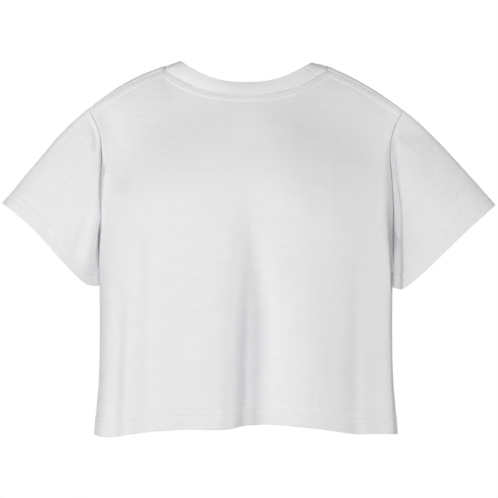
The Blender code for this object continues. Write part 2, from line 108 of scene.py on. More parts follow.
def soft_noise(a: Array, b: Array, seed: int, waves: int = 7) -> Array:
    """Sum a few slanted waves into an uneven field.

    Args:
        a: First coordinate, one turn of the slowest wave per unit.
        b: Second coordinate, on the same terms.
        seed: Which pattern to draw.
        waves: How many waves are summed.

    Returns:
        Values of about -1 to 1.
    """
    draw = np.random.default_rng(seed)
    total = np.zeros(np.broadcast(a, b).shape)
    for _ in range(waves):
        turn = draw.uniform(0.0, 2.0 * math.pi)
        pace = draw.uniform(0.7, 2.6)
        run = a * math.cos(turn) + b * math.sin(turn)
        total += np.sin(2.0 * math.pi * pace * run + draw.uniform(0.0, 6.3))
    return total / math.sqrt(waves)


@dataclass(frozen=True)
class Fold:
    """A long soft trough or ridge that runs down a panel to the hem, sizes in millimetres."""

    foot_x: float
    head_x: float
    head_z: float
    full_z: float
    depth: float
    foot_width: float
    head_width: float
    right_share: float = 1.0

    def offset(self, x: Array, z: Array) -> Array:
        """Outward offset of the cloth at each place.

        Args:
            x: Places across, in millimetres.
            z: Heights, in millimetres.

        Returns:
            One offset for each place, in millimetres.
        """
        down = np.clip((self.head_z - z) / (self.head_z + 466.0), 0.0, 1.0)
        centre = self.head_x + (self.foot_x - self.head_x) * down
        width = self.head_width + (self.foot_width - self.head_width) * down
        width = np.where(x < centre, width * self.right_share, width)
        full = ramp((self.head_z - z) / (self.head_z - self.full_z))
        return self.depth * full * np.exp(-(((x - centre) / width) ** 2))


@dataclass(frozen=True)
class Lobe:
    """A soft round swelling or hollow of a panel, sizes in millimetres."""

    x: float
    z: float
    out: float
    half_width: float
    half_height: float

    def offset(self, x: Array, z: Array) -> Array:
        """Outward offset of the cloth at each place.

        Args:
            x: Places across, in millimetres.
            z: Heights, in millimetres.

        Returns:
            One offset for each place, in millimetres.
        """
        near = ((x - self.x) / self.half_width) ** 2 + ((z - self.z) / self.half_height) ** 2
        return self.out * np.exp(-near)


@dataclass(frozen=True)
class Crease:
    """A short crease between two places of a sheet, sharper on one side, tapering to both ends."""

    start: tuple[float, float]
    end: tuple[float, float]
    width: float
    depth: float
    bend: float = 0.0
    skew: float = 0.0

    def offset(self, x: Array, z: Array) -> Array:
        """Outward offset of the cloth at each place.

        Args:
            x: Places across, in millimetres.
            z: Heights, in millimetres.

        Returns:
            One offset for each place, in millimetres.
        """
        first = np.array(self.start)
        run = np.array(self.end) - first
        length = float(np.linalg.norm(run))
        along_x, along_z = run / length
        s = ((x - first[0]) * along_x + (z - first[1]) * along_z) / length
        d = (x - first[0]) * along_z - (z - first[1]) * along_x
        d = d - self.bend * 4.0 * s * (1.0 - s)
        taper = ramp(s / 0.3 + 0.4) * ramp((1.0 - s) / 0.3 + 0.4)
        across = d / self.width
        return self.depth * taper * np.exp(-(across ** 2)) * (1.0 - self.skew * across)


@dataclass(frozen=True)
class BodyForm:
    """The hollow body that both panels and both sleeves are set on, sizes in millimetres."""

    section_power: float = 2.35
    underarm_z: float = -208.0
    hem_z: float = -466.0
    hem_ease_z: float = -300.0
    tip_x: float = 198.0
    start_x: float = 106.0
    left_slope: float = 0.26
    left_curve: float = 0.0027
    right_slope: float = 0.37
    right_curve: float = 0.00175
    neck_half: float = 104.0
    neck_drop: float = 2.0
    tip_drop: float = 4.5
    seam_y: float = 10.0
    seam_fade: float = 90.0
    neck_crown: float = 16.0
    width_z: tuple[float, ...] = (
        -466.0, -430.0, -400.0, -330.0, -208.0, -170.0, -143.0,
        -111.0, -92.0, -76.0, -64.0, -54.0,
    )
    width_x: tuple[float, ...] = (
        193.5, 191.0, 188.5, 187.0, 188.0, 187.3, 185.5,
        183.5, 184.5, 188.0, 193.0, 198.0,
    )
    reach_z: tuple[float, ...] = (
        -208.0, -204.0, -198.0, -190.0, -178.0, -160.0,
        -138.0, -115.0, -95.0, -54.0,
    )
    reach: tuple[float, ...] = (0.0, 0.09, 0.165, 0.235, 0.315, 0.40, 0.465, 0.50, 0.51, 0.47)

    def seam_height(self, x: Array) -> Array:
        """Height of the shoulder seam at each place across.

        Args:
            x: Places across, in millimetres.

        Returns:
            One height for each place, in millimetres.
        """
        run = np.abs(x) - self.start_x
        left = self.left_slope * run + self.left_curve * run * run
        right = self.right_slope * run + self.right_curve * run * run
        outward = (np.abs(x) - self.neck_half) / (self.tip_x - self.neck_half)
        drop = self.neck_drop + (self.tip_drop - self.neck_drop) * outward
        return -np.where(x > 0.0, left, right) - drop

    def half_width(self, z: Array) -> Array:
        """Half width of the body at each height of its edge."""
        return smooth_table(z, self.width_z, self.width_x)


@dataclass(frozen=True)
class PanelCut:
    """Cut and drape of one body panel, sizes in millimetres."""

    name: str
    side: Side
    neck_z: float
    neck_curve: float
    dome_height: float
    dome_curve: float
    dome_root: float
    neck_dip: float
    depths: tuple[float, ...]
    hem: tuple[float, ...]
    folds: tuple[Fold, ...]
    lobes: tuple[Lobe, ...]
    creases: tuple[Crease, ...]
    flat: tuple[float, float]
    flat_area: float
    seed: int
    depth_z: tuple[float, ...] = (-466.0, -300.0, -200.0, -130.0, -40.0)
    hem_x: tuple[float, ...] = (
        -192.0, -166.0, -150.0, -125.0, -84.0, -30.0, 0.0,
        30.0, 69.0, 100.0, 130.0, 151.0, 178.0, 192.0,
    )


BACK = PanelCut(
    name="back",
    side=Side.BACK,
    neck_z=-35.0,
    neck_curve=2.4,
    dome_height=200.0,
    dome_curve=1.5,
    dome_root=1.0,
    neck_dip=-27.0,
    depths=(90.0, 98.0, 104.0, 107.0, 107.0),
    hem=(
        -465.0, -463.0, -463.5, -460.5, -454.0, -450.5, -453.5,
        -455.5, -455.5, -457.5, -460.5, -464.0, -467.5, -466.0,
    ),
    folds=(
        Fold(-5.0, -8.0, -125.0, -330.0, -21.0, 20.0, 15.0, right_share=1.9),
        Fold(4.0, 1.0, -160.0, -420.0, -12.0, 11.0, 8.5, right_share=1.5),
        Fold(38.0, 36.0, -130.0, -330.0, 5.5, 28.0, 26.0),
        Fold(-82.0, -72.0, -170.0, -330.0, 6.0, 32.0, 28.0),
        Fold(-150.0, -146.0, -150.0, -400.0, -13.0, 20.0, 13.0),
        Fold(-178.0, -172.0, -130.0, -300.0, 8.0, 11.0, 9.0),
        Fold(128.0, 118.0, -110.0, -260.0, -4.5, 14.0, 12.0),
        Fold(168.0, 160.0, -240.0, -340.0, -4.5, 9.0, 9.0),
    ),
    lobes=(
        Lobe(78.0, -130.0, 4.0, 42.0, 60.0),
        Lobe(-78.0, -125.0, 4.0, 42.0, 60.0),
        Lobe(0.0, -110.0, -3.0, 30.0, 55.0),
    ),
    creases=(
        Crease((24.0, -470.0), (22.0, -424.0), 5.0, -1.8),
        Crease((6.5, -470.0), (6.0, -427.0), 3.2, -1.7),
        Crease((-8.0, -470.0), (-7.0, -427.0), 3.2, -1.4),
        Crease((-19.0, -436.0), (-27.0, -458.0), 2.2, -1.3, bend=2.0),
        Crease((16.3, -444.0), (16.3, -430.0), 1.6, -1.1),
        Crease((28.0, -402.0), (17.0, -434.0), 2.8, -1.1),
        Crease((-14.7, -445.0), (-14.7, -429.0), 1.6, -0.9),
        Crease((79.0, -444.0), (73.0, -460.0), 2.4, -0.9),
        Crease((-84.0, -408.0), (-84.0, -446.0), 3.5, -0.9),
        Crease((132.0, -92.0), (132.0, -425.0), 3.0, 0.35),
        Crease((-108.0, -102.0), (-108.0, -320.0), 4.0, 0.30),
        Crease((172.0, -46.0), (150.0, -150.0), 15.0, -3.6, skew=0.6),
    ),
    flat=(0.500, 0.520),
    flat_area=0.215,
    seed=11,
)

FRONT = PanelCut(
    name="front",
    side=Side.FRONT,
    neck_z=-95.0,
    neck_curve=2.15,
    dome_height=220.0,
    dome_curve=1.5,
    dome_root=1.5,
    neck_dip=50.5,
    depths=(101.0, 109.0, 111.0, 107.0, 103.0),
    hem=(
        -465.0, -464.0, -462.0, -459.0, -455.0, -452.0, -451.0,
        -452.0, -455.0, -458.0, -461.0, -463.0, -466.0, -466.0,
    ),
    folds=(
        Fold(-22.0, -8.0, -170.0, -410.0, -9.0, 22.0, 15.0),
        Fold(66.0, 52.0, -180.0, -380.0, -5.0, 24.0, 16.0),
        Fold(110.0, 96.0, -210.0, -400.0, 4.0, 30.0, 22.0),
        Fold(-108.0, -90.0, -190.0, -390.0, 4.0, 34.0, 24.0),
        Fold(-150.0, -138.0, -200.0, -330.0, -4.5, 16.0, 12.0),
    ),
    lobes=(
        Lobe(80.0, -190.0, 3.0, 45.0, 60.0),
        Lobe(-76.0, -185.0, 3.5, 45.0, 60.0),
    ),
    creases=(
        Crease((-18.0, -454.0), (-15.0, -415.0), 3.5, -1.1),
        Crease((70.0, -456.0), (64.0, -420.0), 4.0, -0.9),
        Crease((30.0, -438.0), (38.0, -456.0), 3.0, -0.8, bend=-2.0),
        Crease((-96.0, -400.0), (-100.0, -442.0), 4.5, -0.7),
        Crease((168.0, -110.0), (120.0, -165.0), 9.0, -1.6),
        Crease((-170.0, -115.0), (-125.0, -175.0), 9.0, -1.8),
    ),
    flat=(0.520, 0.520),
    flat_area=0.215,
    seed=23,
)


@dataclass(frozen=True)
class SleeveFold:
    """A soft fold along a sleeve, placed by shares round it and along it."""

    round_at: float
    round_width: float
    along_at: float
    along_width: float
    depth: float


@dataclass(frozen=True)
class Groove:
    """A trough or ridge of a sleeve that runs beside the armhole seam, sizes in millimetres."""

    top_z: float
    foot_z: float
    top_away: float
    foot_away: float
    depth: float
    near_width: float
    far_width: float

    def offset(self, away: Array, z: Array) -> Array:
        """Outward offset of the cloth at each distance from the seam and height.

        Args:
            away: Distances from the seam, in millimetres.
            z: Heights, in millimetres.

        Returns:
            One offset for each place, in millimetres.
        """
        down = np.clip((self.top_z - z) / (self.top_z - self.foot_z), 0.0, 1.0)
        centre = self.top_away + (self.foot_away - self.top_away) * down
        width = np.where(away < centre, self.near_width, self.far_width) * (0.55 + 0.45 * down)
        ends = ramp((self.top_z - z) / 22.0) * ramp((z - self.foot_z) / 14.0 + 1.0)
        return self.depth * ends * np.exp(-(((away - centre) / width) ** 2))


@dataclass(frozen=True)
class SleeveCut:
    """Cut and drape of one sleeve, sizes in millimetres."""

    name: str
    arm: Arm
    tip: tuple[float, float]
    foot: tuple[float, float]
    shift_y: float
    sag: float
    tuck_x: float
    top_bulge: float
    folds: tuple[SleeveFold, ...]
    grooves: tuple[Groove, ...]
    flat: tuple[float, float]
    flat_area: float
    seed: int
    half_depth: float = 32.0
    side_bulge: float = 7.0
    tuck_up: float = 9.5
    tuck_power: int = 30
    back_drop: float = 1.0
    corner_push: float = 0.0
    gap: float = 0.15


LEFT_SLEEVE = SleeveCut(
    name="sleeve_left",
    arm=Arm.LEFT,
    tip=(313.0, -170.5),
    foot=(198.0, -281.5),
    shift_y=-24.0,
    sag=-4.5,
    tuck_x=188.0,
    top_bulge=5.5,
    folds=(
        SleeveFold(0.30, 0.05, 0.55, 0.40, -3.5),
        SleeveFold(0.20, 0.05, 0.60, 0.40, 2.5),
        SleeveFold(0.72, 0.06, 0.60, 0.40, -3.5),
    ),
    grooves=(
        Groove(-82.0, -185.0, 4.0, 3.0, 2.2, 3.0, 4.0),
        Groove(-110.0, -281.0, 2.2, 1.6, 4.5, 1.3, 14.0),
        Groove(-56.0, -98.0, 6.5, 5.0, -2.6, 4.0, 5.0),
    ),
    corner_push=9.0,
    flat=(0.385, 0.175),
    flat_area=0.046,
    seed=31,
)

RIGHT_SLEEVE = SleeveCut(
    name="sleeve_right",
    arm=Arm.RIGHT,
    tip=(317.5, -173.0),
    foot=(195.0, -287.0),
    shift_y=22.0,
    sag=-2.0,
    tuck_x=188.0,
    top_bulge=5.0,
    folds=(
        SleeveFold(0.17, 0.05, 0.60, 0.40, -3.0),
        SleeveFold(0.32, 0.06, 0.50, 0.40, 2.0),
        SleeveFold(0.70, 0.06, 0.55, 0.40, -4.0),
    ),
    grooves=(
        Groove(-80.0, -290.0, 3.6, 5.0, -9.0, 2.4, 4.0),
        Groove(-80.0, -290.0, 12.0, 16.0, 4.0, 6.0, 40.0),
    ),
    corner_push=2.0,
    flat=(0.385, 0.175),
    flat_area=0.046,
    seed=37,
)


@dataclass
class Shell:
    """Grids of a cloth wall: rows by columns of outer points, and the way in at each point."""

    outer: Array
    inward: Array
    wall: Array
    closed: bool
    flip: bool

    def mesh_parts(self) -> tuple[Array, Array]:
        """Build one closed wall from the grids.

        Returns:
            Vertices in millimetres and four-sided faces.
        """
        rows, columns = self.outer.shape[:2]
        count = rows * columns
        inner = self.outer + self.inward * self.wall[..., None]
        vertices = np.concatenate([self.outer.reshape(-1, 3), inner.reshape(-1, 3)])
        spans = columns if self.closed else columns - 1
        row, column = np.meshgrid(np.arange(rows - 1), np.arange(spans), indexing="ij")
        after = (column + 1) % columns
        a, b = row * columns + column, row * columns + after
        d, c = a + columns, b + columns
        outside = np.stack([a, b, c, d], axis=-1).reshape(-1, 4)
        faces = [outside, outside[:, ::-1] + count]
        for edge, turned in ((0, True), (rows - 1, False)):
            run = np.arange(spans)
            p = edge * columns + run
            q = edge * columns + (run + 1) % columns
            strip = np.stack([p, q, q + count, p + count], axis=-1)
            faces.append(strip[:, ::-1] if turned else strip)
        if not self.closed:
            for edge, turned in ((0, False), (columns - 1, True)):
                p = np.arange(rows - 1) * columns + edge
                q = p + columns
                strip = np.stack([p, q, q + count, p + count], axis=-1)
                faces.append(strip[:, ::-1] if turned else strip)
        quads = np.concatenate(faces)
        return vertices, quads[:, ::-1] if self.flip else quads


def make_piece(name: str, vertices: Array, quads: Array, material: bpy.types.Material) -> bpy.types.Object:
    """Make a smooth mesh object from arrays.

    Args:
        name: Name of the object and its mesh.
        vertices: Points in millimetres.
        quads: Four-sided faces.
        material: The finish of the piece.

    Returns:
        The new object, linked to the scene.
    """
    mesh = bpy.data.meshes.new(name)
    mesh.vertices.add(len(vertices))
    mesh.vertices.foreach_set("co", (vertices * MM).astype(np.float32).ravel())
    mesh.loops.add(quads.size)
    mesh.loops.foreach_set("vertex_index", quads.astype(np.int32).ravel())
    mesh.polygons.add(len(quads))
    mesh.polygons.foreach_set("loop_start", np.arange(0, quads.size, 4, dtype=np.int32))
    mesh.update(calc_edges=True)
    mesh.polygons.foreach_set("use_smooth", np.ones(len(quads), bool))
    mesh.validate()
    mesh.materials.append(material)
    piece = bpy.data.objects.new(name, mesh)
    bpy.context.scene.collection.objects.link(piece)
    return piece


@dataclass
class PanelSheet:
    """Front or back panel as a fine cloth sheet."""

    cut: PanelCut
    form: BodyForm
    wall: float = 1.0
    hem_wall: float = 1.8
    hem_depth: float = 23.0
    needle_gap: float = 6.4
    needle_edge: float = 0.9
    band_width: float = 8.0
    inside_columns: int = 60
    outside_columns: int = 54
    arm_steps: int = 96
    ridge_y: float = -2.0
    ridge_lift: float = 10.0
    seam_gap: float = 0.12
    arm_rows: tuple[float, ...] = (
        0.0, 0.026, 0.065, 0.117, 0.195, 0.312, 0.455,
        0.59, 0.715, 0.812, 0.89, 0.948, 0.983, 0.995,
        1.0,
    )
    middle_rows: tuple[float, ...] = (
        0.0, 0.08, 0.16, 0.24, 0.33, 0.42, 0.51,
        0.61, 0.71, 0.80, 0.87, 0.93, 0.97, 0.99,
        1.0,
    )
    shares: Array = field(init=False)
    points: Array = field(init=False)
    neck_distance: Array = field(init=False)
    shoulder_distance: dict[Arm, Array] = field(init=False)
    arm_start: int = field(init=False)
    neck_first: int = field(init=False)
    neck_last: int = field(init=False)

    def __post_init__(self) -> None:
        """Lay out the columns and rows and place every point."""
        self.shares = self.column_shares()
        self.neck_first = self.outside_columns
        self.neck_last = self.outside_columns + 2 * self.inside_columns
        self.points = self.place_points()

    def column_shares(self) -> Array:
        """Place of each column as a share of the half width."""
        neck = self.form.neck_half / self.form.tip_x
        v = np.linspace(0.0, 1.0, self.inside_columns + 1)
        inside = neck * (0.75 * v + 0.25 * np.sin(v * math.pi / 2.0))
        power = self.form.section_power
        start = math.asin(neck ** (power / 2.0))
        w = np.linspace(0.0, 1.0, self.outside_columns + 1)[1:]
        outside = np.sin(start + (math.pi / 2.0 - start) * w ** 1.1) ** (2.0 / power)
        half = np.concatenate([inside, outside])
        return np.concatenate([-half[:0:-1], half])

    def row_levels(self) -> tuple[Array, Array]:
        """Heights of the rows at the panel's edge and at its middle."""
        form = self.form
        hem = np.arange(0.0, self.hem_depth + 5.0, 1.0)
        rise = form.underarm_z - form.hem_z
        body = np.linspace(hem[-1], rise, 80)[1:-1]
        low = np.concatenate([hem, body]) + form.hem_z
        step = np.linspace(0.0, len(self.arm_rows) - 1.0, self.arm_steps)
        index = np.arange(len(self.arm_rows), dtype=float)
        tip = float(form.seam_height(np.array(form.tip_x)))
        edge = form.underarm_z + (tip - form.underarm_z) * smooth_table(step, index, self.arm_rows)
        middle = form.underarm_z + (tip - form.underarm_z) * smooth_table(step, index, self.middle_rows)
        self.arm_start = len(low)
        return np.concatenate([low, edge]), np.concatenate([low, middle])

    def top_height(self, x: Array) -> Array:
        """Height of the upper edge: neckline inside, shoulder seam outside.

        Args:
            x: Places across, in millimetres.

        Returns:
            One height for each place, in millimetres.
        """
        form = self.form
        start = form.seam_height(np.copysign(form.neck_half, x))
        across = np.clip(np.abs(x) / form.neck_half, 0.0, 1.0)
        neck = start + (self.cut.neck_z - start) * (1.0 - across ** self.cut.neck_curve)
        return np.where(np.abs(x) >= form.neck_half - 1e-6, form.seam_height(x), neck)

    def dome_top(self, x: Array) -> Array:
        """Height of the shoulder dome, which dips across the neck.

        Args:
            x: Places across, in millimetres.

        Returns:
            One height for each place, in millimetres.
        """
        form = self.form
        start = form.seam_height(np.copysign(form.neck_half, x))
        inside = np.clip(1.0 - (x / form.neck_half) ** 2, 0.0, 1.0)
        dip = start + form.neck_crown * inside - self.cut.neck_dip * inside ** 2
        return np.where(np.abs(x) >= form.neck_half, form.seam_height(x), dip)

    def place_points(self) -> Array:
        """Place the outer points of the sheet, folds included.

        Returns:
            Rows by columns of points in millimetres.
        """
        form, cut = self.form, self.cut
        edge_z, middle_z = self.row_levels()
        share = self.shares[None, :]
        top_x = share * form.tip_x
        top_z = self.top_height(top_x)
        edge_z, middle_z = edge_z[:, None], middle_z[:, None]
        edge_x = form.half_width(edge_z)
        x = edge_x * share
        level = middle_z + (edge_z - middle_z) * share * share
        reference = float(form.seam_height(np.array(form.tip_x)))
        up = np.clip((level - form.underarm_z) / (reference - form.underarm_z), 0.0, 1.0) ** 1.5
        down = ramp((form.hem_ease_z - edge_z) / (form.hem_ease_z - form.hem_z - 25.0))
        z = level + (top_z - reference) * up + (smooth_table(x, cut.hem_x, cut.hem) - form.hem_z) * down
        below = self.dome_top(top_x) - z
        share_up = np.clip(below / cut.dome_height, 0.0, 1.0)
        dome = (1.0 - (1.0 - share_up) ** cut.dome_curve) ** (1.0 / cut.dome_root)
        reach = smooth_table(edge_z, form.reach_z, form.reach)
        n = form.section_power
        full = edge_x / (1.0 - reach ** n) ** (1.0 / n)
        depth = smooth_table(z, cut.depth_z, cut.depths)
        section = depth * np.clip(1.0 - np.clip(np.abs(x) / full, 0.0, 1.0) ** n, 0.0, 1.0) ** (1.0 / n)
        y = form.seam_y * (1.0 - ramp(below / form.seam_fade)) + cut.side.value * section * dome
        if cut.side is Side.FRONT:
            width = np.where(y > self.ridge_y, 12.0, 20.0)
            rise = np.clip(1.0 - ((y - self.ridge_y) / width) ** 2, 0.0, 1.0) * (1.0 - ramp(below / 40.0))
            lift = self.ridge_lift * rise * ramp((np.abs(top_x) - 92.0) / (form.neck_half - 92.0))
            last_row = (np.arange(len(edge_z)) == len(edge_z) - 1)[:, None]
            on_seam = last_row & (np.abs(top_x) > form.neck_half - 1e-6)
            z = z + np.where(on_seam, 0.0, lift)
        points = np.stack([x, y, z], axis=-1)
        return points + self.outward(points) * self.drape(points)[..., None]

    def outward(self, points: Array) -> Array:
        """Unit normal of the grid, out of the garment."""
        across = np.gradient(points, axis=1)
        up = np.gradient(points, axis=0)
        return unit(np.cross(up, across) * self.cut.side.value)

    def drape(self, points: Array) -> Array:
        """Outward offset from folds, lobes, creases and the lie of the cloth.

        Args:
            points: Rows by columns of points, in millimetres.

        Returns:
            Outward offset of each point, in millimetres.
        """
        cut = self.cut
        x, z = points[..., 0], points[..., 2]
        large = sum(fold.offset(x, z) for fold in cut.folds) + sum(lobe.offset(x, z) for lobe in cut.lobes)
        edge = ramp((1.0 - np.abs(self.shares)[None, :]) / 0.06)
        head = ramp((points[-1, :, 2][None, :] - z) / 40.0)
        fine = sum(crease.offset(x, z) for crease in cut.creases)
        fine = fine + 0.35 * soft_noise(x / 90.0, z / 150.0, cut.seed)
        fine = fine + 0.10 * soft_noise(x / 16.0, z / 34.0, cut.seed + 1)
        near_edge = ramp((1.0 - np.abs(self.shares)[None, :]) / 0.03)
        near_head = ramp((points[-1, :, 2][None, :] - z) / 12.0)
        folds = large * edge * head + fine * near_edge * near_head
        return folds + self.hem_relief(points) + self.seam_relief(points)

    def seam_relief(self, points: Array) -> Array:
        """Raised sewn bands along the neck and shoulders, and the pull of every seam.

        Args:
            points: Rows by columns of points, in millimetres.

        Returns:
            Outward offset of each point, in millimetres.
        """
        top = points[-1]
        x, z = points[..., 0], points[..., 2]
        neck = distance_to_line(points, top[self.neck_first:self.neck_last + 1])
        relief = 0.80 * (1.0 - ramp((neck - self.band_width + 0.6) / 1.3))
        for row in (self.needle_edge, self.needle_edge + self.needle_gap):
            relief -= 0.25 * np.exp(-(((neck - row) / 0.8) ** 2))
        relief += 0.10 * soft_noise(x / 9.0, z / 40.0, self.cut.seed + 3) * np.exp(-((neck / 9.0) ** 2))
        self.neck_distance = neck
        self.shoulder_distance = {}
        for arm, line in ((Arm.RIGHT, top[: self.neck_first + 1]), (Arm.LEFT, top[self.neck_last:])):
            away = distance_to_line(points, line)
            self.shoulder_distance[arm] = away
            clear = ramp(neck / self.band_width)
            relief += 0.85 * (1.0 - ramp((away - self.band_width + 0.6) / 1.3)) * clear
            relief -= 0.5 * np.exp(-((away / 0.9) ** 2))
        for line in (points[self.arm_start:, 0], points[self.arm_start:, -1]):
            away = distance_to_line(points, line)
            relief += 0.35 * (1.0 - ramp((away - self.band_width + 1.0) / 2.5))
            relief += 0.16 * soft_noise(x / 40.0, z / 13.0, self.cut.seed + 4) * np.exp(-((away / 7.0) ** 2))
            relief -= 0.35 * np.exp(-((away / 1.2) ** 2))
        return relief

    def hem_relief(self, points: Array) -> Array:
        """Step, needle grooves and small puckers of the turned-up hem.

        Args:
            points: Rows by columns of points, in millimetres.

        Returns:
            Outward offset of each point, in millimetres.
        """
        x = points[..., 0]
        rise = np.cumsum(np.linalg.norm(np.diff(points, axis=0, prepend=points[:1]), axis=-1), axis=0)
        relief = 0.70 * (1.0 - ramp((rise - self.hem_depth + 0.5) / 2.5))
        for row in (self.hem_depth, self.hem_depth - self.needle_gap):
            relief = relief - 0.50 * np.exp(-(((rise - row) / 1.3) ** 2))
        pucker = 0.16 * soft_noise(x / 11.0, rise / 60.0, self.cut.seed + 2)
        return relief + pucker * np.exp(-(((rise - self.hem_depth + 3.0) / 9.0) ** 2))

    def edge_loop(self, arm: Arm) -> Array:
        """Armhole edge from the underarm to the shoulder."""
        return self.points[self.arm_start:, -1 if arm is Arm.LEFT else 0]

    def shell(self) -> Shell:
        """Wall of the panel, with its edges a thread's width from its neighbours."""
        outer = self.points.copy()
        inward = -self.outward(outer)
        side = self.cut.side.value
        inward[: self.arm_start, -1] = (-1.0, 0.0, 0.0)
        inward[: self.arm_start, 0] = (1.0, 0.0, 0.0)
        outer[:, [0, -1], 1] += side * self.seam_gap
        wall = np.full(outer.shape[:2], self.wall)
        wall[: int(self.hem_depth)] = self.hem_wall
        wall[0] = self.hem_wall * 0.6
        return Shell(outer, inward, wall, False, side > 0.0)


def distance_to_line(points: Array, line: Array) -> Array:
    """Distance from each point to the nearest place on a line of points.

    Args:
        points: Grid of points.
        line: Points of the line, in order.

    Returns:
        Distance of each grid point, in the points' own unit.
    """
    best = np.full(points.shape[:2], np.inf)
    for start, end in zip(line[:-1], line[1:]):
        run = end - start
        along = np.clip((points - start) @ run / max(float(run @ run), 1e-9), 0.0, 1.0)
        best = np.minimum(best, np.linalg.norm(points - start - along[..., None] * run, axis=-1))
    return best


def run_of(line: Array) -> Array:
    """Length travelled to each point of a line."""
    steps = np.linalg.norm(np.diff(line, axis=0), axis=-1)
    return np.concatenate([[0.0], np.cumsum(steps)])


def resample(line: Array, places: Array) -> Array:
    """Read a line of points at given lengths along it."""
    travelled = run_of(line)
    return np.stack([np.interp(places, travelled, line[:, axis]) for axis in range(3)], axis=-1)


@dataclass
class SleeveSheet:
    """Short sleeve as a fine cloth tube from the armhole to the cuff."""

    cut: SleeveCut
    loop: Array
    form: BodyForm
    wall: float = 1.0
    hem_wall: float = 1.8
    hem_depth: float = 20.0
    needle_gap: float = 6.4
    rows: int = 84
    round_shares: Array = field(init=False)
    reach: Array = field(init=False)
    points: Array = field(init=False)

    def __post_init__(self) -> None:
        """Place the tube between its armhole loop and its cuff."""
        sign = self.cut.arm.value
        self.loop = self.loop + np.array([sign * self.cut.gap, 0.0, 0.0])
        travelled = run_of(np.concatenate([self.loop, self.loop[:1]]))
        half = len(self.loop) // 2
        back_length = travelled[half]
        front_length = travelled[-1] - back_length
        index = np.arange(len(self.loop))
        behind = 0.5 * travelled[:-1] / back_length
        before = 0.5 + 0.5 * (travelled[:-1] - back_length) / front_length
        self.round_shares = np.where(index <= half, behind, before)
        self.points = self.place_points()

    def cuff_loop(self) -> Array:
        """Points of the cuff edge."""
        cut = self.cut
        sign = cut.arm.value
        tip = np.array([sign * cut.tip[0], cut.shift_y, cut.tip[1]])
        foot = np.array([sign * cut.foot[0], cut.shift_y, cut.foot[1]])
        half = (foot - tip) / 2.0
        along = unit(np.array([-sign * half[2], 0.0, half[0] * sign]))
        angles = np.linspace(0.0, 2.0 * math.pi, 721)
        oval = np.stack([np.linalg.norm(half) * np.cos(angles), cut.half_depth * np.sin(angles)], axis=1)
        travelled = run_of(oval)
        turn = np.interp(self.round_shares, travelled / travelled[-1], angles)
        loop = (tip + foot) / 2.0 + np.cos(turn)[:, None] * half
        loop[:, 1] += cut.half_depth * np.sin(turn)
        drop = cut.back_drop * np.sin(turn) + cut.sag * np.sin(turn) ** 2 * (1.0 - np.cos(turn))
        under = ((1.0 + np.cos(turn)) / 2.0) ** cut.tuck_power
        tuck = np.array([sign * (cut.tuck_x - cut.foot[0]), 0.0, cut.tuck_up])
        return loop + drop[:, None] * along + under[:, None] * tuck

    def place_points(self) -> Array:
        """Place the outer points of the tube, folds included.

        Returns:
            Rows by columns of points in millimetres.
        """
        cut = self.cut
        end = self.cuff_loop()
        chord = end - self.loop
        length = np.linalg.norm(chord, axis=1)
        hem_start = 1.0 - (self.hem_depth + 4.0) / length
        main = np.linspace(0.0, 1.0, self.rows - 22)[:, None] * hem_start[None, :]
        hem = hem_start[None, :] + np.linspace(0.0, 1.0, 23)[1:, None] * (1.0 - hem_start)[None, :]
        self.reach = np.concatenate([main, hem])
        turn = 2.0 * math.pi * self.round_shares
        facing = np.stack([np.zeros(len(turn)), np.sin(turn), np.zeros(len(turn))], axis=1)
        over = unit(np.array([cut.arm.value, 0.0, 1.0]))
        topness = ((1.0 - np.cos(turn)) / 2.0) ** 3
        bulge = facing * cut.side_bulge + over * (topness * cut.top_bulge)[:, None]
        rise = np.sin(math.pi * self.reach ** 0.65)
        points = self.loop[None] + chord[None] * self.reach[..., None] + bulge[None] * rise[..., None]
        back_corner = np.exp(-(((self.round_shares - 0.07) / 0.06) ** 2))
        corner = back_corner - np.exp(-(((self.round_shares - 0.93) / 0.06) ** 2))
        points[..., 1] += cut.corner_push * corner[None] * np.sin(math.pi * self.reach ** 0.8)
        points = points + self.outward(points) * self.drape(points, length)[..., None]
        return points

    def outward(self, points: Array) -> Array:
        """Unit normal of the grid, out of the garment."""
        around = np.roll(points, -1, axis=1) - np.roll(points, 1, axis=1)
        along = np.gradient(points, axis=0)
        return unit(np.cross(around, along) * self.cut.arm.value)

    def drape(self, points: Array, length: Array) -> Array:
        """Outward offset from folds, creases, the turned-up hem and the lie of the cloth.

        Args:
            points: Rows by columns of points, in millimetres.
            length: Length of each column from the armhole to the cuff.

        Returns:
            Outward offset of each point, in millimetres.
        """
        cut = self.cut
        around = self.round_shares[None, :]
        amount = np.zeros(points.shape[:2])
        for fold in cut.folds:
            across = (around - fold.round_at) / fold.round_width
            along = (self.reach - fold.along_at) / fold.along_width
            amount += fold.depth * np.exp(-(across ** 2)) * np.exp(-(along ** 2))
        amount *= np.clip(self.reach / 0.3, 0.0, 1.0)
        x, y, z = points[..., 0], points[..., 1], points[..., 2]
        seam = ramp(self.reach * length[None, :] / 10.0)
        amount += seam * (0.30 * soft_noise(x / 70.0 + y / 50.0, z / 90.0, cut.seed))
        amount += seam * (0.12 * soft_noise(x / 15.0 + y / 20.0, z / 26.0, cut.seed + 1))
        rise = (1.0 - self.reach) * length[None, :]
        amount += 0.70 * (1.0 - ramp((rise - self.hem_depth + 0.5) / 2.5))
        for row in (self.hem_depth, self.hem_depth - self.needle_gap):
            amount -= 0.50 * np.exp(-(((rise - row) / 1.3) ** 2))
        pucker = 0.14 * soft_noise(around * 34.0, rise / 60.0, cut.seed + 2)
        amount += pucker * np.exp(-(((rise - self.hem_depth + 3.0) / 8.0) ** 2))
        amount -= 0.3 * np.exp(-((self.reach * length[None, :] / 1.2) ** 2))
        return amount + self.groove_relief(points)

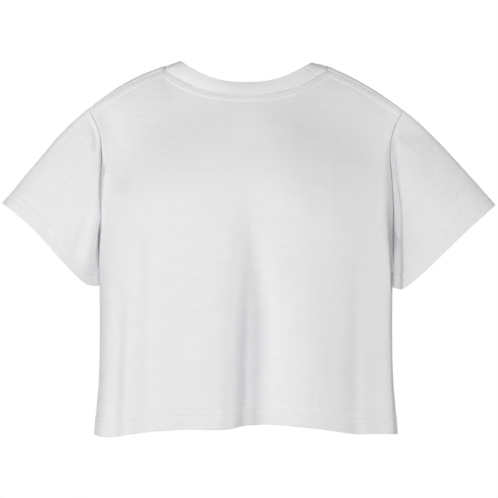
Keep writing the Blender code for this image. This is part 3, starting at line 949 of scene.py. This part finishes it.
    def groove_relief(self, points: Array) -> Array:
        """Troughs and ridges beside the armhole seam, on the back of the sleeve.

        Args:
            points: Rows by columns of points, in millimetres.

        Returns:
            Outward offset of each point, in millimetres.
        """
        away = np.abs(points[..., 0]) - self.form.half_width(points[..., 2])
        behind = ramp(self.outward(points)[..., 1] / 0.5)
        amount = np.zeros(away.shape)
        for groove in self.cut.grooves:
            amount += groove.offset(away, points[..., 2])
        return amount * behind * ramp(self.reach / 0.02)

    def shell(self) -> Shell:
        """Wall of the sleeve."""
        outer = self.points
        wall = np.full(outer.shape[:2], self.wall)
        wall[-22:] = self.hem_wall
        wall[-1] = self.hem_wall * 0.6
        return Shell(outer, -self.outward(outer), wall, True, self.cut.arm is Arm.RIGHT)


@dataclass
class NeckbandSheet:
    """Folded rib band standing on the neck seam."""

    seat: Array
    seam_y: float = 10.0
    neck_half: float = 104.0
    top_half: float = 84.0
    side_z: float = 11.5
    side_y: float = 7.0
    back_z: float = -17.5
    back_y: float = 50.0
    front_z: float = -76.0
    front_y: float = -43.0
    curve: float = 2.4
    round_out: float = 1.2
    right_drop: float = 2.0
    join_x: float = -92.0
    join_depth: float = 0.8
    wall: float = 2.0
    rib_pitch: float = 1.35
    rib_height: float = 0.16
    face_rows: int = 16
    points: Array = field(init=False)

    def __post_init__(self) -> None:
        """Spread the columns evenly round the neck, a few to each rib."""
        closed = np.concatenate([self.seat, self.seat[:1]])
        length = run_of(closed)[-1]
        ribs = round(length / self.rib_pitch)
        self.seat = resample(closed, np.arange(4 * ribs) * length / (4 * ribs))
        self.points = self.place_points()

    def top_loop(self) -> Array:
        """Points of the folded top edge."""
        across = np.clip(np.abs(self.seat[:, 0]) / self.neck_half, 0.0, 1.0)
        middle = np.sqrt(1.0 - across * across)
        behind = self.seat[:, 1] >= self.seam_y - 1e-6
        y = self.side_y + (np.where(behind, self.back_y, self.front_y) - self.side_y) * middle
        low = np.where(behind, self.back_z, self.front_z)
        z = self.side_z + (low - self.side_z) * (1.0 - across ** self.curve)
        z = z - np.where(self.seat[:, 0] < 0.0, self.right_drop * across ** 6, 0.0)
        return np.stack([self.seat[:, 0] * self.top_half / self.neck_half, y, z], axis=-1)

    def place_points(self) -> Array:
        """Place the closed cross-sections: up the outside, over the fold and down the inside.

        Returns:
            Places round the section by columns round the neck, in millimetres.
        """
        top = self.top_loop()
        rise = unit(top - self.seat)
        start = self.seat + rise * 0.3
        around = unit(np.roll(start, -1, axis=0) - np.roll(start, 1, axis=0))
        face = unit(np.cross(rise, around))
        if np.sum(face[:, :2] * self.seat[:, :2]) < 0.0:
            face = -face
        share = np.linspace(0.0, 1.0, self.face_rows)
        radius = self.wall / 2.0
        height = np.linalg.norm(top - start, axis=1) - radius
        rib = self.rib_height * np.cos(np.arange(len(start)) * math.pi / 2.0 + 0.8)
        behind = self.seat[:, 1] >= self.seam_y
        join = self.join_depth * behind * np.exp(-(((self.seat[:, 0] - self.join_x) / 1.3) ** 2))
        rows = []
        for s in share:
            out = self.round_out * math.sin(math.pi * s) + rib * (1.0 - 0.5 * s) - join
            rows.append(start + rise * (height * s)[:, None] + face * out[:, None])
        for angle in np.linspace(0.0, math.pi, 9)[1:-1]:
            out = radius * (math.cos(angle) - 1.0) + rib * 0.5 * math.cos(angle)
            rows.append(start + rise * (height + radius * math.sin(angle))[:, None] + face * out[:, None])
        for s in share[::-1]:
            out = self.round_out * math.sin(math.pi * s) - self.wall - rib * 0.5
            rows.append(start + rise * (height * s)[:, None] + face * out[:, None])
        return np.array(rows)

    def mesh_parts(self) -> tuple[Array, Array]:
        """Vertices in millimetres and four-sided faces of the closed band."""
        rows, columns = self.points.shape[:2]
        row, column = np.meshgrid(np.arange(rows), np.arange(columns), indexing="ij")
        below, after = (row + 1) % rows, (column + 1) % columns
        near = (row * columns + column, below * columns + column)
        far = (below * columns + after, row * columns + after)
        quads = np.stack(near + far, axis=-1).reshape(-1, 4)
        return self.points.reshape(-1, 3), quads


@dataclass(frozen=True)
class Thread:
    """Sewing thread: its thickness and how proud of the cloth it stands, in millimetres."""

    radius: float = 0.30
    lift: float = 0.30
    sides: int = 6
    sections: int = 5

    def strands(self, starts: Array, ends: Array, normals: Array) -> tuple[Array, Array]:
        """Build one short bowed strand for each pair of ends.

        Args:
            starts: First end of each strand.
            ends: Other end of each strand.
            normals: Direction out of the cloth at each strand.

        Returns:
            Vertices in millimetres and four-sided faces.
        """
        run = ends - starts
        tangent = unit(run)
        side = unit(np.cross(tangent, normals))
        up = np.cross(side, tangent)
        s = np.linspace(0.0, 1.0, self.sections)
        bow = self.lift * np.sin(math.pi * s) - self.radius * (np.abs(2.0 * s - 1.0) ** 3)
        girth = self.radius * (0.35 + 0.65 * np.sin(math.pi * s) ** 0.5)
        turn = np.arange(self.sides) * 2.0 * math.pi / self.sides
        centre = starts[:, None] + run[:, None] * s[None, :, None] + up[:, None] * bow[None, :, None]
        ring = np.cos(turn)[None, None, :, None] * side[:, None, None]
        ring = ring + np.sin(turn)[None, None, :, None] * up[:, None, None]
        points = centre[:, :, None] + ring * girth[None, :, None, None]
        count, each = len(starts), self.sections * self.sides
        i, j = np.meshgrid(np.arange(self.sections - 1), np.arange(self.sides), indexing="ij")
        a, b = i * self.sides + j, i * self.sides + (j + 1) % self.sides
        tube = np.stack([a, b, b + self.sides, a + self.sides], axis=-1).reshape(-1, 4)
        first = np.array([[0, 5, 4, 3], [3, 2, 1, 0]])
        last = np.array([[0, 1, 2, 3], [3, 4, 5, 0]]) + (self.sections - 1) * self.sides
        quads = np.concatenate([tube, first, last])
        quads = (quads[None] + (np.arange(count) * each)[:, None, None]).reshape(-1, 4)
        return points.reshape(-1, 3), quads


def contour(points: Array, normals: Array, distance: Array, level: float) -> tuple[Array, Array]:
    """Find where each column of a grid is a given distance from an edge.

    Args:
        points: Rows by columns of points.
        normals: Outward direction at each point.
        distance: Distance of each point from the edge, rising or falling down the column.
        level: The wanted distance.

    Returns:
        One point and one outward direction for each column.
    """
    gap = distance - level
    crosses = gap[:-1] * gap[1:] <= 0.0
    row = np.argmax(crosses, axis=0)
    column = np.arange(points.shape[1])
    a, b = gap[row, column], gap[row + 1, column]
    share = np.where(np.abs(a - b) > 1e-9, a / (a - b), 0.0)[:, None]
    place = points[row, column] * (1.0 - share) + points[row + 1, column] * share
    facing = unit(normals[row, column] * (1.0 - share) + normals[row + 1, column] * share)
    return place, facing


def running_stitches(
    line: Array, normals: Array, pitch: float, share: float = 0.78
) -> tuple[Array, Array, Array]:
    """Place equal stitches along a line.

    Args:
        line: Points of the sewn line.
        normals: Outward direction at each point.
        pitch: Length of one stitch and its gap.
        share: How much of the pitch shows as thread.

    Returns:
        Starts, ends and outward directions of the stitches.
    """
    length = run_of(line)[-1]
    count = max(int(length / pitch), 1)
    middle = (np.arange(count) + 0.5) * length / count
    half = pitch * share / 2.0
    travelled = run_of(line)
    facing = np.stack([np.interp(middle, travelled, normals[:, axis]) for axis in range(3)], axis=-1)
    return resample(line, middle - half), resample(line, middle + half), unit(facing)


def armhole_loop(back: PanelSheet, front: PanelSheet, arm: Arm) -> Array:
    """Closed armhole: from the underarm up the back edge, over the shoulder and down the front edge."""
    return np.concatenate([back.edge_loop(arm), front.edge_loop(arm)[-2:0:-1]])


def neck_loop(back: PanelSheet, front: PanelSheet) -> Array:
    """Closed neck seam: along the back neckline, then back along the front one."""
    behind = back.points[-1, back.neck_first:back.neck_last + 1]
    before = front.points[-1, front.neck_first:front.neck_last + 1]
    return np.concatenate([behind, before[-2:0:-1]])


class GroupBuilder:
    """A shader node group under construction."""

    def __init__(
        self,
        name: str,
        inputs: dict[str, float | tuple[float, float, float]],
        outputs: Sequence[str],
    ) -> None:
        """Make the group with its named inputs and outputs.

        Args:
            name: Name of the group.
            inputs: Start value of each input; three numbers make it a vector.
            outputs: Name of each output.
        """
        self.tree = bpy.data.node_groups.new(name, "ShaderNodeTree")
        for label, value in inputs.items():
            kind = "NodeSocketVector" if isinstance(value, tuple) else "NodeSocketFloat"
            socket = self.tree.interface.new_socket(name=label, in_out="INPUT", socket_type=kind)
            socket.default_value = value
        for label in outputs:
            self.tree.interface.new_socket(name=label, in_out="OUTPUT", socket_type="NodeSocketFloat")
        self.inputs = self.tree.nodes.new("NodeGroupInput").outputs
        self.outputs = self.tree.nodes.new("NodeGroupOutput").inputs

    def math(self, operation: str, *values: object) -> bpy.types.NodeSocket:
        """Add a math node.

        Args:
            operation: Name of the operation.
            values: Numbers or sockets for its inputs.

        Returns:
            The result socket.
        """
        node = self.tree.nodes.new("ShaderNodeMath")
        node.operation = operation
        for slot, value in zip(node.inputs, values):
            self.feed(value, slot)
        return node.outputs[0]

    def feed(self, value: object, slot: bpy.types.NodeSocket) -> None:
        """Set a socket to a number, or link another socket to it."""
        if isinstance(value, bpy.types.NodeSocket):
            self.tree.links.new(value, slot)
        else:
            slot.default_value = value

    def noise(
        self, position: bpy.types.NodeSocket, stretch: tuple[float, float, float], detail: float
    ) -> bpy.types.NodeSocket:
        """Add a noise texture with its own stretch along each axis.

        Args:
            position: Socket that gives the place.
            stretch: Cycles per metre along each axis.
            detail: Number of finer layers.

        Returns:
            Socket that gives the noise.
        """
        mapping = self.tree.nodes.new("ShaderNodeMapping")
        mapping.inputs["Scale"].default_value = stretch
        self.tree.links.new(position, mapping.inputs["Vector"])
        texture = self.tree.nodes.new("ShaderNodeTexNoise")
        texture.inputs["Scale"].default_value = 1.0
        texture.inputs["Detail"].default_value = detail
        self.tree.links.new(mapping.outputs["Vector"], texture.inputs["Vector"])
        return texture.outputs["Fac"]


def knit_group() -> bpy.types.NodeTree:
    """Plain knit: wales and courses, thick and thin yarn, and faint clouding.

    Returns:
        A group with the outputs Height, Yarn and Cloud.
    """
    inputs = {"Position": (0.0, 0.0, 0.0), "Turn": 0.0, "Wale": 1250.0, "Course": 1550.0, "Slub": 1.0}
    group = GroupBuilder("plain_knit", inputs, ("Height", "Yarn", "Cloud"))
    turn = group.tree.nodes.new("ShaderNodeVectorRotate")
    turn.rotation_type = "Y_AXIS"
    group.tree.links.new(group.inputs["Position"], turn.inputs["Vector"])
    group.tree.links.new(group.inputs["Turn"], turn.inputs["Angle"])
    along = turn.outputs["Vector"]
    split = group.tree.nodes.new("ShaderNodeSeparateXYZ")
    group.tree.links.new(along, split.inputs["Vector"])
    across = group.math("MULTIPLY", split.outputs["X"], group.inputs["Wale"])
    up = group.math("MULTIPLY", split.outputs["Z"], group.inputs["Course"])
    lean = group.math("ABSOLUTE", group.math("SUBTRACT", group.math("FRACT", across), 0.5))
    leg = group.math("SINE", group.math("MULTIPLY", group.math("ADD", up, lean), 2.0 * math.pi))
    wale = group.math("SINE", group.math("MULTIPLY", across, 2.0 * math.pi))
    stitch = group.math("ADD", group.math("MULTIPLY", leg, 0.5), group.math("MULTIPLY", wale, 0.5))
    yarn = group.noise(along, (55.0, 55.0, 720.0), 2.0)
    long_yarn = group.noise(along, (18.0, 18.0, 330.0), 1.0)
    yarns = group.math("ADD", group.math("MULTIPLY", yarn, 0.6), group.math("MULTIPLY", long_yarn, 0.4))
    slub = group.math("MULTIPLY", group.math("SUBTRACT", yarns, 0.5), group.inputs["Slub"])
    cloud = group.noise(along, (14.0, 14.0, 10.0), 3.0)
    height = group.math("ADD", group.math("MULTIPLY", stitch, 0.25), group.math("MULTIPLY", slub, 1.9))
    group.feed(height, group.outputs["Height"])
    group.feed(group.math("ADD", slub, 0.5), group.outputs["Yarn"])
    group.feed(cloud, group.outputs["Cloud"])
    return group.tree


def lint_group() -> bpy.types.NodeTree:
    """Short loose fibres that roughen a cloth's surface.

    Returns:
        A group with the outputs Fibre and Rough.
    """
    sockets = {"Position": (0.0, 0.0, 0.0), "Density": 900.0, "Base": 0.85}
    group = GroupBuilder("loose_fibre", sockets, ("Fibre", "Rough"))
    scale = group.tree.nodes.new("ShaderNodeVectorMath")
    scale.operation = "SCALE"
    group.tree.links.new(group.inputs["Position"], scale.inputs[0])
    group.tree.links.new(group.inputs["Density"], scale.inputs["Scale"])
    fibre = group.noise(scale.outputs[0], (1.0, 1.0, 1.0), 2.0)
    group.feed(fibre, group.outputs["Fibre"])
    change = group.math("MULTIPLY", group.math("SUBTRACT", fibre, 0.5), 0.2)
    rough = group.math("ADD", group.inputs["Base"], change)
    group.feed(rough, group.outputs["Rough"])
    return group.tree


@dataclass(frozen=True)
class ClothFinish:
    """White cotton cloth: its knit direction, tones and sheen."""

    name: str
    light: tuple[float, float, float] = (0.87, 0.87, 0.88)
    dark: tuple[float, float, float] = (0.79, 0.79, 0.81)
    turn: float = 0.0
    wale: float = 1250.0
    course: float = 1550.0
    slub: float = 1.0
    relief: float = 0.00022
    strength: float = 0.5
    sheen: float = 0.20

    def make(self, knit: bpy.types.NodeTree, lint: bpy.types.NodeTree) -> bpy.types.Material:
        """Build the material.

        Args:
            knit: The plain knit group.
            lint: The loose fibre group.

        Returns:
            The finished material.
        """
        material = bpy.data.materials.new(self.name)
        material.use_nodes = True
        nodes, links = material.node_tree.nodes, material.node_tree.links
        shader = nodes["Principled BSDF"]
        shader.inputs["Sheen Weight"].default_value = self.sheen
        shader.inputs["Sheen Roughness"].default_value = 0.5
        shader.inputs["Specular IOR Level"].default_value = 0.25
        place = nodes.new("ShaderNodeTexCoord")
        yarn = nodes.new("ShaderNodeGroup")
        yarn.node_tree = knit
        links.new(place.outputs["Object"], yarn.inputs["Position"])
        yarn.inputs["Turn"].default_value = self.turn
        yarn.inputs["Wale"].default_value = self.wale
        yarn.inputs["Course"].default_value = self.course
        yarn.inputs["Slub"].default_value = self.slub
        fibre = nodes.new("ShaderNodeGroup")
        fibre.node_tree = lint
        links.new(place.outputs["Object"], fibre.inputs["Position"])
        tone = nodes.new("ShaderNodeMix")
        tone.data_type = "RGBA"
        tone.inputs["A"].default_value = (*self.dark, 1.0)
        tone.inputs["B"].default_value = (*self.light, 1.0)
        mixed = nodes.new("ShaderNodeMath")
        mixed.operation = "MULTIPLY_ADD"
        mixed.inputs[1].default_value = 0.35
        links.new(yarn.outputs["Cloud"], mixed.inputs[0])
        links.new(yarn.outputs["Yarn"], mixed.inputs[2])
        links.new(mixed.outputs[0], tone.inputs["Factor"])
        links.new(tone.outputs["Result"], shader.inputs["Base Color"])
        links.new(fibre.outputs["Rough"], shader.inputs["Roughness"])
        height = nodes.new("ShaderNodeMath")
        height.operation = "MULTIPLY_ADD"
        height.inputs[1].default_value = 0.35
        links.new(fibre.outputs["Fibre"], height.inputs[0])
        links.new(yarn.outputs["Height"], height.inputs[2])
        bump = nodes.new("ShaderNodeBump")
        bump.inputs["Strength"].default_value = self.strength
        bump.inputs["Distance"].default_value = self.relief
        links.new(height.outputs[0], bump.inputs["Height"])
        links.new(bump.outputs["Normal"], shader.inputs["Normal"])
        return material


@dataclass
class Studio:
    """Floor, soft lights and camera round the garment, in metres."""

    floor_z: float = -0.82
    floor_half: float = 2.2
    camera_x: float = -0.00384
    camera_z: float = -0.2291
    distance: float = 4.5
    view_width: float = 0.63744
    sky: float = 0.12

    def build(self) -> None:
        """Place everything round the garment."""
        self.make_floor()
        self.make_sky()
        self.make_light("left_light", (3.0, 1.4, 0.3), 1.2, 36.0)
        self.make_light("right_light", (-3.2, 0.86, 0.3), 1.2, 29.0)
        self.make_light("front_light", (0.2, 3.7, 0.3), 1.6, 62.0)
        self.make_light("top_light", (0.2, 2.4, 1.9), 1.2, 5.0)
        self.make_light("far_light", (0.6, -3.4, 0.6), 1.8, 32.0)
        self.make_camera()

    def make_floor(self) -> None:
        """Plain pale floor well below the garment."""
        mesh = bpy.data.meshes.new("floor")
        half = self.floor_half
        corners = [(-half, -half), (half, -half), (half, half), (-half, half)]
        mesh.from_pydata([(x, y, self.floor_z) for x, y in corners], [], [(0, 1, 2, 3)])
        material = bpy.data.materials.new("pale_floor")
        material.use_nodes = True
        shader = material.node_tree.nodes["Principled BSDF"]
        shader.inputs["Base Color"].default_value = (0.88, 0.88, 0.88, 1.0)
        shader.inputs["Roughness"].default_value = 0.9
        mesh.materials.append(material)
        floor = bpy.data.objects.new("floor", mesh)
        bpy.context.scene.collection.objects.link(floor)

    def make_sky(self) -> None:
        """White surround that also lights the garment softly."""
        world = bpy.data.worlds.new("surround")
        world.use_nodes = True
        nodes, links = world.node_tree.nodes, world.node_tree.links
        seen = nodes["Background"]
        seen.inputs["Strength"].default_value = 1.0
        seen.inputs["Color"].default_value = (1.0, 1.0, 1.0, 1.0)
        soft = nodes.new("ShaderNodeBackground")
        soft.inputs["Strength"].default_value = self.sky
        soft.inputs["Color"].default_value = (1.0, 1.0, 1.0, 1.0)
        path = nodes.new("ShaderNodeLightPath")
        mix = nodes.new("ShaderNodeMixShader")
        links.new(path.outputs["Is Camera Ray"], mix.inputs["Fac"])
        links.new(soft.outputs["Background"], mix.inputs[1])
        links.new(seen.outputs["Background"], mix.inputs[2])
        links.new(mix.outputs["Shader"], nodes["World Output"].inputs["Surface"])
        scene = bpy.context.scene
        scene.world = world
        scene.view_settings.view_transform = "Standard"

    def make_light(self, name: str, place: tuple[float, float, float], size: float, power: float) -> None:
        """Soft square light aimed at the garment.

        Args:
            name: Name of the light.
            place: Where it stands, in metres.
            size: Side of the square, in metres.
            power: Power in watts.
        """
        data = bpy.data.lights.new(name, "AREA")
        data.shape = "SQUARE"
        data.size = size
        data.energy = power
        light = bpy.data.objects.new(name, data)
        light.visible_camera = False
        light.location = place
        aim = Vector((0.0, 0.0, self.camera_z)) - Vector(place)
        light.rotation_euler = aim.to_track_quat("-Z", "Y").to_euler()
        bpy.context.scene.collection.objects.link(light)

    def make_camera(self) -> None:
        """Long lens square to the back."""
        data = bpy.data.cameras.new("camera")
        data.lens = data.sensor_width * self.distance / self.view_width
        camera = bpy.data.objects.new("camera", data)
        camera.location = (self.camera_x, self.distance, self.camera_z)
        camera.rotation_euler = (math.pi / 2.0, 0.0, math.pi)
        bpy.context.scene.collection.objects.link(camera)
        bpy.context.scene.camera = camera


@dataclass
class CropTop:
    """The whole garment: two panels, two sleeves, the neckband and their stitches."""

    form: BodyForm = field(default_factory=BodyForm)
    thread: Thread = field(default_factory=Thread)
    ladder: Thread = field(default_factory=lambda: Thread(radius=0.20, lift=0.10))
    pitch: float = 3.0
    rung_pitch: float = 1.9
    upper_rows: int = 60
    band_flat: tuple[float, float] = (0.50, 0.031)

    def build(self) -> None:
        """Build every piece and attach it to the root; each cloth piece hides the frame part it covers."""
        knit, lint = knit_group(), lint_group()
        body = ClothFinish("cotton_jersey").make(knit, lint)
        left = ClothFinish("cotton_jersey_left", turn=math.radians(44.0)).make(knit, lint)
        right = ClothFinish("cotton_jersey_right", turn=math.radians(-43.0)).make(knit, lint)
        rib = ClothFinish("cotton_rib", slub=0.25, course=1300.0, strength=0.3).make(knit, lint)
        white = ClothFinish("sewing_thread", light=(0.97, 0.97, 0.97), dark=(0.94, 0.94, 0.95), slub=0.2)
        sewing = white.make(knit, lint)
        back, front = PanelSheet(BACK, self.form), PanelSheet(FRONT, self.form)
        for panel in (back, front):
            piece = make_piece(f"{panel.cut.name}_cloth", *panel.shell().mesh_parts(), body)
            self.declare(piece, panel.cut.name)
        for cut, cloth in ((LEFT_SLEEVE, left), (RIGHT_SLEEVE, right)):
            sleeve = SleeveSheet(cut, armhole_loop(back, front, cut.arm), self.form)
            piece = make_piece(f"{cut.name}_cloth", *sleeve.shell().mesh_parts(), cloth)
            self.declare(piece, cut.name)
            self.cuff_stitches(sleeve, sewing)
        band = NeckbandSheet(neck_loop(back, front))
        piece = make_piece("neckband_cloth", *band.mesh_parts(), rib)
        self.declare(piece, "neckband")
        for panel in (back, front):
            self.panel_stitches(panel, sewing)

    def declare(
        self,
        piece: bpy.types.Object,
        node: str,
    ) -> None:
        """Tell the frame what a cloth piece is.

        Args:
            piece: The finished cloth.
            node: Node of the frame that it stands for.
        """
        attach(piece, "root")
        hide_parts(node)
        LOG.info("%s: %d points", piece.name, len(piece.data.vertices))

    def sew(
        self,
        name: str,
        thread: Thread,
        strands: Sequence[tuple[Array, Array, Array]],
        material: bpy.types.Material,
    ) -> None:
        """Join strands of thread into one piece.

        Args:
            name: Name of the piece.
            thread: The thread that is sewn.
            strands: Starts, ends and outward directions of each row of stitches.
            material: Finish of the thread.
        """
        starts, ends, normals = (np.concatenate(parts) for parts in zip(*strands))
        vertices, quads = thread.strands(starts, ends, normals)
        piece = make_piece(name, vertices, quads, material)
        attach(piece, "root")
        LOG.info("%s: %d stitches", name, len(starts))

    def cuff_stitches(self, sleeve: SleeveSheet, material: bpy.types.Material) -> None:
        """Two rows of stitches round a cuff.

        Args:
            sleeve: Sleeve whose cuff is sewn.
            material: Finish of the thread.
        """
        points, normals = sleeve.points, sleeve.outward(sleeve.points)
        steps = np.linalg.norm(np.diff(points[::-1], axis=0), axis=-1)
        rise = np.concatenate([np.zeros((1, points.shape[1])), np.cumsum(steps, axis=0)])[::-1]
        rows = []
        for level in (sleeve.hem_depth, sleeve.hem_depth - sleeve.needle_gap):
            line, facing = contour(points, normals, rise, level)
            closed = np.concatenate([line, line[:1]])
            rows.append(running_stitches(closed, np.concatenate([facing, facing[:1]]), self.pitch))
        self.sew(f"{sleeve.cut.name}_cuff_stitches", self.thread, rows, material)

    def panel_stitches(self, panel: PanelSheet, material: bpy.types.Material) -> None:
        """Two rows above the hem, two below the neck, and the ladder along the shoulders of the back.

        Args:
            panel: Panel that is sewn.
            material: Finish of the thread.
        """
        points, normals = panel.points, panel.outward(panel.points)
        steps = np.linalg.norm(np.diff(points, axis=0), axis=-1)
        rise = np.concatenate([np.zeros((1, points.shape[1])), np.cumsum(steps, axis=0)])
        rows = []
        for level in (panel.hem_depth, panel.hem_depth - panel.needle_gap):
            rows.append(running_stitches(*contour(points, normals, rise, level), self.pitch))
        self.sew(f"{panel.cut.name}_hem_stitches", self.thread, rows, material)
        neck = slice(panel.neck_first, panel.neck_last + 1)
        upper = slice(-self.upper_rows, None)
        rows = []
        for level in (panel.needle_edge, panel.needle_edge + panel.needle_gap):
            away = panel.neck_distance[upper, neck]
            line, facing = contour(points[upper, neck], normals[upper, neck], away, level)
            rows.append(running_stitches(line, facing, self.pitch))
        self.sew(f"{panel.cut.name}_neck_stitches", self.thread, rows, material)
        if panel.cut.side is Side.FRONT:
            return
        rungs = []
        shoulders = {Arm.RIGHT: slice(1, panel.neck_first + 1), Arm.LEFT: slice(panel.neck_last, -1)}
        for arm, span in shoulders.items():
            away = panel.shoulder_distance[arm][upper, span]
            ends = []
            for level in (panel.needle_edge, panel.needle_edge + panel.needle_gap):
                line, facing = contour(points[upper, span], normals[upper, span], away, level)
                count = int(run_of(line)[-1] / self.rung_pitch)
                places = np.linspace(0.0, 1.0, count + 1)
                feet = resample(line, places * run_of(line)[-1])
                ends.append((feet, resample(facing, places * run_of(facing)[-1])))
            count = min(len(ends[0][0]), len(ends[1][0]))
            rungs.append((ends[0][0][:count], ends[1][0][:count], unit(ends[0][1][:count])))
        self.sew(f"{panel.cut.name}_shoulder_stitches", self.ladder, rungs, material)


def main() -> None:
    """Build the garment and its studio."""
    logging.basicConfig(level=logging.INFO, format="%(name)s: %(message)s")
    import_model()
    CropTop().build()
    Studio().build()
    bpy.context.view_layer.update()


if __name__ == "__main__":
    main()
